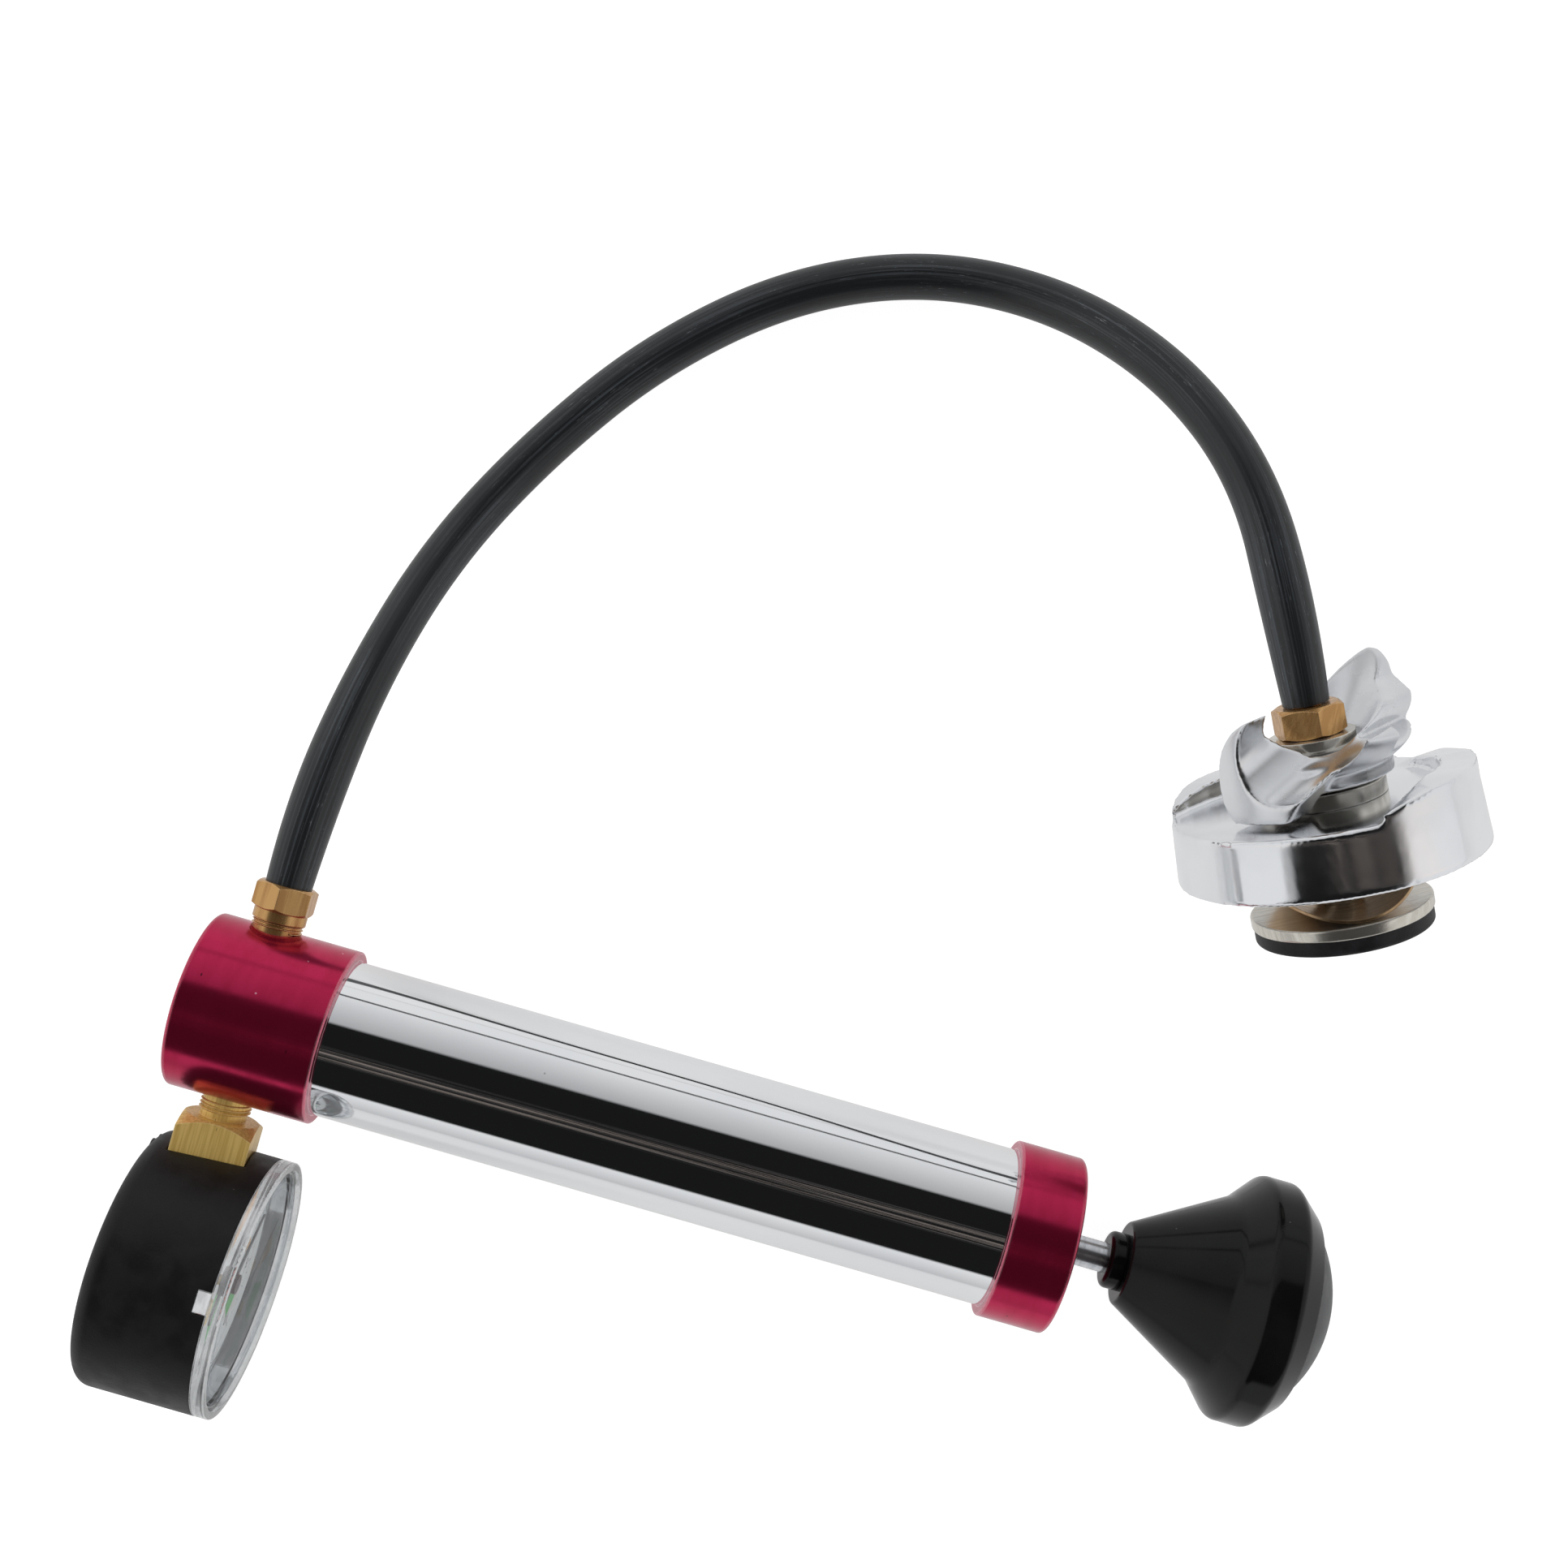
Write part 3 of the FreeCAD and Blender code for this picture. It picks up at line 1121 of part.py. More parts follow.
def make_cap():
    """Chromed cap: flat top, deep skirt, two grip ears and two cams in the skirt."""
    blank = turned(
        "cap_blank",
        [("0", "bush_body_radius + turn_gap"), ("0", RIM_TOP), ("-skirt_depth", "rim_radius"),
         ("-skirt_depth", SKIRT_BORE), ("-top_wall", SKIRT_BORE),
         ("-top_wall", "bush_body_radius + turn_gap")],
        {1: "rim_round", 2: "skirt_round"})
    ears = [solid(f"cap_ear_{place}", ear_shape(bool(place))) for place in (0, 1)]
    cams = []
    for place in (0, 1):
        cam = turned(
            f"cap_cam_{place}",
            [("-skirt_depth", f"{SKIRT_BORE} - cam_reach"),
             ("-skirt_depth", f"{SKIRT_BORE} + skirt_wall / 2"),
             ("-skirt_depth + cam_thickness", f"{SKIRT_BORE} + skirt_wall / 2"),
             ("-skirt_depth + cam_thickness", f"{SKIRT_BORE} - cam_reach")],
            angle="cam_span")
        cam.Placement = Placement(Vector(), Rotation(Vector(1, 0, 0), 180.0 * place + size("cam_bearing")))
        cams.append(cam)
    keep(adapter_frame, fuse("cap_body", blank, *ears, *cams))


def make_bush():
    """Threaded bush that the cap turns on and the wing nut's screw runs in."""
    bore = "(nut_screw_radius + turn_gap)"
    under = "(-top_wall - turn_gap)"
    bush = turned(
        "hub_bush",
        [("hub_flange_height", bore), ("hub_flange_height", "hub_flange_radius"),
         ("turn_gap", "hub_flange_radius"), ("turn_gap", "bush_body_radius"), (under, "bush_body_radius"),
         (under, "hub_collar_radius"), (f"{under} - hub_collar_thickness", "hub_collar_radius"),
         (f"{under} - hub_collar_thickness", bore)],
        {1: "mouth_break"})
    keep(adapter_frame, bush)


# Outlines of the wings seen along their bearing, as (share of the wing's height,
# share of wing_back). Each arc takes three spots and ends where the next begins,
# and a last spot left over is joined by a straight line.
LOW_WING = ((0.30, 1.0), (0.745, 0.64), (1.0, -0.41), (0.93, -1.18), (0.5, -3.0))
HIGH_WING = ((0.62, -1.1), (0.9, -0.45), (1.0, 0.09), (0.97, 0.42), (0.79, 0.74), (0.72, 1.05), (0.66, 1.45),
             (0.57, 1.5), (0.47, 1.3), (0.38, 2.6))


def straight(spots):
    """Straight edges through a row of points, where neighbours may coincide."""
    return [Part.LineSegment(start, end).toShape() for start, end in zip(spots, spots[1:])
            if not start.isEqual(end, SAME_POINT)]


def standing_slab(edges, bearing):
    """Slab over one half of the nut: its outline is seen along a bearing."""
    face = Part.Face(Part.Wire(edges))
    slab = face.extrude(Vector(0, 2 * size("wing_radius"), 0))
    slab.rotate(Vector(), Vector(1, 0, 0), bearing)
    return slab


def wing_slab(top, outline, bearing):
    """Half of the nut under one wing's outline."""
    low = size("wing_base") - size("edge_break")
    spots = [Vector(share * top, 0, -side * size("wing_back")) for share, side in outline]
    edges = straight([Vector(low, 0, spots[0].z), spots[0]])
    place = 0
    while place + 2 < len(spots):
        edges.append(Part.Arc(*spots[place:place + 3]).toShape())
        place += 2
    corner = Vector(low, 0, spots[-1].z)
    edges += straight(spots[place:] + [corner, Vector(low, 0, spots[0].z)])
    return standing_slab(edges, bearing)


def revolved(edges):
    """Solid of revolution about X from the edges of its half section."""
    return Part.Face(Part.Wire(edges)).revolve(Vector(), Vector(1, 0, 0), 360)


def bowl_shape(top, slope):
    """Flared bowl that a wing is cut from, with the slope of the wing's inside."""
    outer = size("wing_radius")
    hub = size("nut_hub_radius")
    boss = size("nut_boss_radius")
    step = size("nut_boss_step")
    inside = size("nut_boss_top") + step
    crest_end = min(boss + (top - inside) / slope, outer)
    crest_top = inside + (crest_end - boss) * slope
    neck = Vector(size("nut_neck_top"), hub, 0)
    belly = Vector(size("nut_bowl_height"), size("nut_bowl_radius"), 0)
    lip = Vector(size("nut_flare_top"), outer, 0)
    base = size("nut_hub_base")
    bore = size("stem_radius") + size("turn_gap")
    edges = straight([Vector(base, bore, 0), Vector(base, hub - size("nut_hub_draft"), 0), neck])
    edges.append(Part.Arc(neck, belly, lip).toShape())
    edges += straight([lip, Vector(crest_top, outer, 0), Vector(crest_top, crest_end, 0),
                       Vector(inside, boss, 0),
                       Vector(inside - step, boss, 0), Vector(inside - step, bore, 0),
                       Vector(base, bore, 0)])
    return revolved(edges)


def foot_shape(top):
    """Foot of the low wing, which widens upwards into the bowl's lip."""
    low = size("wing_base")
    inner = size("nut_hub_radius") + size("nut_hub_draft") / 2
    spots = [Vector(low, inner, 0), Vector(low, size("wing_radius"), 0), Vector(top, size("wing_radius"), 0),
             Vector(top, inner, 0)]
    wall = revolved(straight(spots + spots[:1]))
    narrow = size("foot_half_width")
    wide = narrow + size("foot_spread")
    high = size("nut_flare_top")
    sides = [Vector(low, 0, -narrow), Vector(high, 0, -wide), Vector(top, 0, -wide), Vector(top, 0, wide),
             Vector(high, 0, wide), Vector(low, 0, narrow)]
    return wall.common(standing_slab(straight(sides + sides[:1]), size("foot_bearing")))


def wings_shape():
    """Both wings with the web between them, hollowed by one slanted round scoop."""
    top = size("high_wing_top") + size("edge_break")
    low_slab = wing_slab(size("low_wing_top"), LOW_WING, size("wing_bearing"))
    high_slab = wing_slab(size("high_wing_top"), HIGH_WING, size("wing_bearing") + 180.0)
    low_wing = bowl_shape(top, size("low_crest_slope")).fuse(foot_shape(top)).common(low_slab)
    body = low_wing.fuse(bowl_shape(top, size("high_crest_slope")).common(high_slab))
    turn = math.radians(size("scoop_turn"))
    rise = math.radians(size("scoop_rise"))
    level = Vector(0, math.cos(turn), math.sin(turn))
    along = level * math.cos(rise) - Vector(math.sin(rise), 0, 0)
    centre = Vector(size("scoop_height"), -math.sin(turn) * size("scoop_across"),
                    math.cos(turn) * size("scoop_across"))
    reach = 3 * size("wing_radius")
    scoop = Part.makeCylinder(size("scoop_radius"), 2 * reach, centre - along * reach, along)
    return body.cut(scoop).removeSplitter()


def make_wing_nut():
    """Wing nut: hub, hollow screw and two scooped wings."""
    core = turned(
        "nut_core",
        [("nut_screw_end", "stem_radius + turn_gap"), ("nut_screw_end", "nut_screw_radius"),
         ("nut_hub_base", "nut_screw_radius"), ("nut_hub_base", "nut_hub_radius"),
         ("nut_hub_top", "nut_hub_radius"), ("nut_boss_top", "nut_boss_radius"),
         ("nut_boss_top", "stem_radius + turn_gap")],
        {4: "handle_round"})
    wings = solid("nut_wings", wings_shape())
    washer = ring("thrust_washer", "washer_radius", "stem_radius + turn_gap", "nut_boss_top + valve_gap",
                  f"{NUT_FLANGE} - valve_gap")
    keep(adapter_frame, fuse("wing_nut", core, wings), washer)


def make_seal():
    """Hollow stem with its flange, the seal's plate, rubber, retainer and leaf spring."""
    stem = turned(
        "stem_tube",
        [(STEM_END, "stem_bore"), (STEM_END, "stem_radius"), (NUT_FLANGE, "stem_radius"),
         (NUT_FLANGE, "stem_flange_radius"), (STEM_TOP, "stem_flange_radius"),
         (STEM_TOP, "stem_thread_radius + fit_gap"),
         (f"{STEM_TOP} - stem_thread_length - fit_gap", "stem_thread_radius + fit_gap"),
         (f"{STEM_TOP} - stem_thread_length - fit_gap", "stem_bore")])
    hole = "(stem_radius + fit_gap)"
    plate = ring("seal_plate", "plate_radius", hole, PLATE_BOTTOM, "-plate_top",
                 {1: "mouth_break", 2: "mouth_break"})
    rubber = turned(
        "seal_gasket",
        [(SEAL_BOTTOM, RETAINER_EDGE), (SEAL_BOTTOM, "seal_radius"), (PLATE_BOTTOM, "seal_radius"),
         (PLATE_BOTTOM, hole), (RETAINER_TOP, hole), (RETAINER_TOP, RETAINER_EDGE)],
        {1: "edge_break"})
    retainer = ring("seal_retainer", "retainer_radius", hole, STEM_END, RETAINER_TOP)
    low = -size("plate_top") + size("leaf_gap")
    axis_at = Vector(low + size("leaf_bend"), 0, -2 * size("leaf_radius"))
    up = Vector(0, 0, 1)
    across_x = Vector(1, 0, 0)
    shell = Part.makeCylinder(size("leaf_bend"), 4 * size("leaf_radius"), axis_at, up).cut(
        Part.makeCylinder(size("leaf_bend") - size("leaf_thickness"), 4 * size("leaf_radius"), axis_at, up))
    disc = Part.makeCylinder(size("leaf_radius"), size("leaf_bend"), Vector(low, 0, 0), across_x).cut(
        Part.makeCylinder(size("stem_radius") + size("turn_gap"), size("leaf_bend"), Vector(low, 0, 0),
                          across_x))
    leaf = solid("leaf_spring", shell.common(disc))
    keep(adapter_frame, stem, plate, rubber, retainer, leaf)


# ---------------------------------------------------------------- build and write
make_head()
make_barrel()
make_valve()
make_piston()
make_handle()
make_stem()
make_case()
make_lens()
make_dial()
make_pointer()
make_movement()
make_pump_fitting()
make_adapter_fitting()
make_hose()
make_cap()
make_bush()
make_wing_nut()
make_seal()
doc.recompute()

for item in doc.Objects:
    if {"Invalid", "Error"} & set(item.State):
        raise RuntimeError(f"{item.Name} failed: {item.State}")
for name, item in nodes.items():
    if item.Shape.isNull() or not item.Shape.isValid() or not item.Shape.Solids:
        raise RuntimeError(f"{name} has no sound solid")

os.makedirs("parts", exist_ok=True)
for name, item in nodes.items():
    item.Shape.exportStep(f"parts/{name}.step")
    box = item.Shape.optimalBoundingBox(False)
    print(f"{name:22s} {len(item.Shape.Solids)} solid(s) {item.Shape.Volume:10.1f} mm3  "
          f"X {box.XMin:7.1f} {box.XMax:7.1f}  Y {box.YMin:7.1f} {box.YMax:7.1f}  "
          f"Z {box.ZMin:6.2f} {box.ZMax:6.2f}")
print(f"{len(nodes)} nodes")
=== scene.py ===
"""Dress of the hand-pumped cooling-system pressure tester.

Every length in this file is in metres, in the part's own frame: +X from the pump's
head to its handle, +Y towards the hose's far loop and +Z up from the bench.
"""

import logging
import math
from dataclasses import dataclass
from enum import Enum

import bmesh
import bpy
from mathutils import Matrix, Vector


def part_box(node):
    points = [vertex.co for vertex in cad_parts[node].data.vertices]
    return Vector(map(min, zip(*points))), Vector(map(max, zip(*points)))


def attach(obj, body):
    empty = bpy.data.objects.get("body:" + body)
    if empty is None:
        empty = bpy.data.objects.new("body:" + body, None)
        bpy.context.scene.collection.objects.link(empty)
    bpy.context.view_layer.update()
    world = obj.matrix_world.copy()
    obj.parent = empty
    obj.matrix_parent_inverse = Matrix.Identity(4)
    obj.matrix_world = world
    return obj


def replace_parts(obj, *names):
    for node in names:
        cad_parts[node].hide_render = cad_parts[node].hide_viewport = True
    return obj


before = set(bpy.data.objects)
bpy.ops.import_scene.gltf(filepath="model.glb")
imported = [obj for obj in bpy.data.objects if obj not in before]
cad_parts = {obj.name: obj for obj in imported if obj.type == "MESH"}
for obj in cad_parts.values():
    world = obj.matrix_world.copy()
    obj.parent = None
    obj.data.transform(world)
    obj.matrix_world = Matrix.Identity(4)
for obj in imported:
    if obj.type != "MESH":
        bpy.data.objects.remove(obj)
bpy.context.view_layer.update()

LOG = logging.getLogger("tester")
MM = 0.001
Triple = tuple[float, float, float]
Colour = Triple
EDGE_SAMPLES = 6
SPECK_SIZE = 0.12
NICK_SIZE = 0.16
ROUNDING = 0.5
THREAD_STEPS = 48
THREAD_ROOT = 0.06 * MM
THREAD_PEAK = 0.42
THREAD_WIDTH = 0.84
HOOP_STEPS = 160
JOIN_DISTANCE = 1e-7
COPY_JOIN_DISTANCE = 1e-6


class Body(Enum):
    """Rigid bodies that the pieces of this file ride on."""

    TESTER = "tester"
    WING_NUT = "wing_nut"
    CAP = "cap"


class Grain(Enum):
    """Kinds of fine surface relief."""

    NONE = "none"
    LAID = "laid"
    CAST = "cast"
    MOULDED = "moulded"


# ---------------------------------------------------------------- shader helpers
class Graph:
    """Short calls for building one node tree."""

    def __init__(self, tree: bpy.types.NodeTree) -> None:
        """Wrap a node tree and clear it.

        Args:
            tree: The tree to fill.
        """
        self.tree = tree
        tree.nodes.clear()

    def node(self, kind: str, inputs: dict | None = None, **settings: object) -> bpy.types.Node:
        """Add a node, set its properties and fill or link its inputs.

        Args:
            kind: The node's type without the ShaderNode prefix.
            inputs: Values or output sockets by input name or number.
            settings: Properties of the node.

        Returns:
            The new node.
        """
        made = self.tree.nodes.new(kind if kind.startswith("Node") else f"ShaderNode{kind}")
        for name, value in settings.items():
            setattr(made, name, value)
        for key, value in (inputs or {}).items():
            socket = made.inputs[key]
            if isinstance(value, bpy.types.NodeSocket):
                self.tree.links.new(value, socket)
            elif socket.type == "RGBA" and len(value) == 3:
                socket.default_value = (*value, 1.0)
            else:
                socket.default_value = value
        return made

    def maths(self, operation: str, first: object, second: object = 0.0) -> bpy.types.NodeSocket:
        """Add a maths node on two values and return its output."""
        return self.node("Math", {0: first, 1: second}, operation=operation).outputs[0]

    def spread(self, value: object, low: float, high: float, to_low: float = 0.0,
               to_high: float = 1.0) -> bpy.types.NodeSocket:
        """Map a value from one range to another, clamped.

        Args:
            value: The value, or an output socket.
            low: Start of the range that is read.
            high: End of the range that is read.
            to_low: What the start becomes.
            to_high: What the end becomes.

        Returns:
            The mapped value's output socket.
        """
        return self.node("MapRange", {"Value": value, "From Min": low, "From Max": high,
                                      "To Min": to_low, "To Max": to_high}).outputs[0]

    def blend(self, share: object, first: object, second: object) -> bpy.types.NodeSocket:
        """Mix two colours.

        Args:
            share: How much of the second colour shows, as a number or an output socket.
            first: The first colour.
            second: The second colour.

        Returns:
            The mixed colour's output socket.
        """
        made = self.tree.nodes.new("ShaderNodeMix")
        made.data_type = "RGBA"
        places = ((made.inputs[0], share), (made.inputs[6], first), (made.inputs[7], second))
        for socket, value in places:
            if isinstance(value, bpy.types.NodeSocket):
                self.tree.links.new(value, socket)
            elif socket == made.inputs[0]:
                socket.default_value = value
            else:
                socket.default_value = (*value, 1.0)
        return made.outputs[2]

    def along_hose(self, scale: Triple) -> bpy.types.NodeSocket:
        """Read the piece's UV map, stretched, and return the vector."""
        source = self.node("TexCoord").outputs["UV"]
        return self.node("Mapping", {"Vector": source, "Scale": scale}).outputs[0]

    def stretched(self, scale: object) -> bpy.types.NodeSocket:
        """Multiply the Object coordinates by a vector and return the product."""
        source = self.node("TexCoord").outputs["Object"]
        return self.node("VectorMath", {0: source, 1: scale}, operation="MULTIPLY").outputs[0]


def new_group(name: str, inputs: dict[str, float | Triple],
              outputs: dict[str, str]) -> tuple[Graph, bpy.types.Node, bpy.types.Node]:
    """Start a shader node group with float and vector inputs.

    Args:
        name: The group's name.
        inputs: Default of each input; a tuple makes a vector socket.
        outputs: Socket type of each output by name.

    Returns:
        The graph, the group's input node and its output node.
    """
    tree = bpy.data.node_groups.new(name, "ShaderNodeTree")
    graph = Graph(tree)
    for key, value in inputs.items():
        kind = "NodeSocketVector" if isinstance(value, tuple) else "NodeSocketFloat"
        tree.interface.new_socket(key, in_out="INPUT", socket_type=kind).default_value = value
    for key, kind in outputs.items():
        tree.interface.new_socket(key, in_out="OUTPUT", socket_type=kind)
    return graph, graph.node("NodeGroupInput"), graph.node("NodeGroupOutput")


def make_edge_group() -> bpy.types.NodeTree:
    """Edge group: a normal rounded over sharp edges and a mask of where the edges are, which finishes use to
    paint a highlight along edges.

    Returns:
        The node group.
    """
    graph, source, sink = new_group("edge_round_and_highlight", {"Radius": 0.0003, "Gain": 4.0},
                                    {"Mask": "NodeSocketFloat", "Normal": "NodeSocketVector"})
    bevel = graph.node("Bevel", {"Radius": source.outputs["Radius"]}, samples=EDGE_SAMPLES)
    flat = graph.node("NewGeometry").outputs["Normal"]
    turn = graph.node("VectorMath", {0: bevel.outputs[0], 1: flat}, operation="DOT_PRODUCT").outputs["Value"]
    mask = graph.maths("MULTIPLY", graph.maths("SUBTRACT", 1.0, turn), source.outputs["Gain"])
    graph.tree.links.new(graph.spread(mask, 0.0, 1.0), sink.inputs["Mask"])
    graph.tree.links.new(bevel.outputs[0], sink.inputs["Normal"])
    return graph.tree


def make_cloud_group() -> bpy.types.NodeTree:
    """Cloud group: soft noise on stretched object coordinates, between two thresholds.

    Returns:
        The node group.
    """
    graph, source, sink = new_group(
        "clouds", {"Stretch": (100.0, 100.0, 100.0), "Detail": 4.0, "Low": 0.4, "High": 0.6},
        {"Mask": "NodeSocketFloat"})
    place = graph.stretched(source.outputs["Stretch"])
    noise = graph.node("TexNoise", {"Vector": place, "Scale": 1.0, "Detail": source.outputs["Detail"]})
    spread = graph.node("MapRange", {"Value": noise.outputs[0], "From Min": source.outputs["Low"],
                                     "From Max": source.outputs["High"]})
    graph.tree.links.new(spread.outputs[0], sink.inputs["Mask"])
    return graph.tree


def make_speck_group() -> bpy.types.NodeTree:
    """Speck group: spots of dust, pits or short nicks, one to a cell of stretched coordinates.

    Returns:
        The node group.
    """
    graph, source, sink = new_group("specks", {"Stretch": (400.0, 400.0, 400.0), "Size": 0.1, "Share": 0.7},
                                    {"Mask": "NodeSocketFloat"})
    place = graph.stretched(source.outputs["Stretch"])
    cell = graph.node("TexVoronoi", {"Vector": place, "Scale": 1.0})
    spot = graph.maths("LESS_THAN", cell.outputs["Distance"], source.outputs["Size"])
    tint = graph.node("SeparateColor", {0: cell.outputs["Color"]}).outputs[0]
    sparse = graph.maths("GREATER_THAN", tint, source.outputs["Share"])
    graph.tree.links.new(graph.maths("MULTIPLY", spot, sparse), sink.inputs["Mask"])
    return graph.tree


GROUPS = {"edge": make_edge_group(), "clouds": make_cloud_group(), "specks": make_speck_group()}


@dataclass(frozen=True)
class Finish:
    """One surface finish: colours, gloss, relief, signs of use and a painted highlight along edges."""

    name: str
    colour: Colour
    second: Colour
    roughness: float
    metallic: float = 0.0
    rough_swing: float = 0.05
    grain: Grain = Grain.NONE
    stretch: Triple = (200.0, 200.0, 200.0)
    relief: float = 0.1
    edge_radius: float = 0.3 * MM
    # colour of a painted highlight along edges, mixed in by the edge mask
    edge_colour: Colour | None = None
    edge_gain: float = 4.0
    speck_colour: Colour | None = None
    speck_stretch: Triple = (500.0, 500.0, 500.0)
    speck_share: float = 0.9
    nick_colour: Colour | None = None
    nick_stretch: Triple = (150.0, 700.0, 700.0)
    nick_share: float = 0.96
    specular: float = 0.5

    def build(self) -> bpy.types.Material:
        """Make the material from the finish's values.

        Returns:
            The material.
        """
        material = bpy.data.materials.new(self.name)
        material.use_nodes = True
        graph = Graph(material.node_tree)
        clouds = graph.node("Group", node_tree=GROUPS["clouds"])
        clouds.inputs["Stretch"].default_value = self.stretch
        mask = clouds.outputs["Mask"]
        colour = graph.blend(mask, self.colour, self.second)
        rough = graph.spread(mask, 0.0, 1.0, self.roughness, self.roughness + self.rough_swing)
        normal = graph.node("NewGeometry").outputs["Normal"]
        if self.edge_radius > 0.0:
            edge = graph.node("Group", {"Radius": self.edge_radius, "Gain": self.edge_gain},
                              node_tree=GROUPS["edge"])
            normal = edge.outputs["Normal"]
            # painted highlight: the edge mask lightens the colour along edges
            if self.edge_colour is not None:
                colour = graph.blend(edge.outputs["Mask"], colour, self.edge_colour)
        marks = ((self.speck_colour, self.speck_stretch, self.speck_share, SPECK_SIZE),
                 (self.nick_colour, self.nick_stretch, self.nick_share, NICK_SIZE))
        for tint, stretch, share, size in marks:
            if tint is None:
                continue
            spots = graph.node("Group", {"Share": share, "Size": size}, node_tree=GROUPS["specks"])
            spots.inputs["Stretch"].default_value = stretch
            colour = graph.blend(spots.outputs["Mask"], colour, tint)
        if self.grain is not Grain.NONE:
            normal = graph.node("Bump", {"Strength": self.relief, "Distance": 0.1 * MM,
                                         "Height": self.height(graph), "Normal": normal}).outputs[0]
        shader = graph.node("BsdfPrincipled", {
            "Base Color": colour, "Roughness": rough, "Metallic": self.metallic, "Normal": normal,
            "Specular IOR Level": self.specular})
        graph.node("OutputMaterial", {"Surface": shader.outputs[0]})
        return material

    def height(self, graph: Graph) -> bpy.types.NodeSocket:
        """Relief pattern of the grain.

        Args:
            graph: The material's graph.

        Returns:
            The height's output socket.
        """
        scales = {Grain.LAID: self.stretch, Grain.CAST: (260.0, 260.0, 260.0),
                  Grain.MOULDED: (2600.0, 2600.0, 2600.0)}
        clouds = graph.node("Group", {"Detail": 2.0, "Low": 0.2, "High": 0.8}, node_tree=GROUPS["clouds"])
        clouds.inputs["Stretch"].default_value = scales[self.grain]
        return clouds.outputs["Mask"]
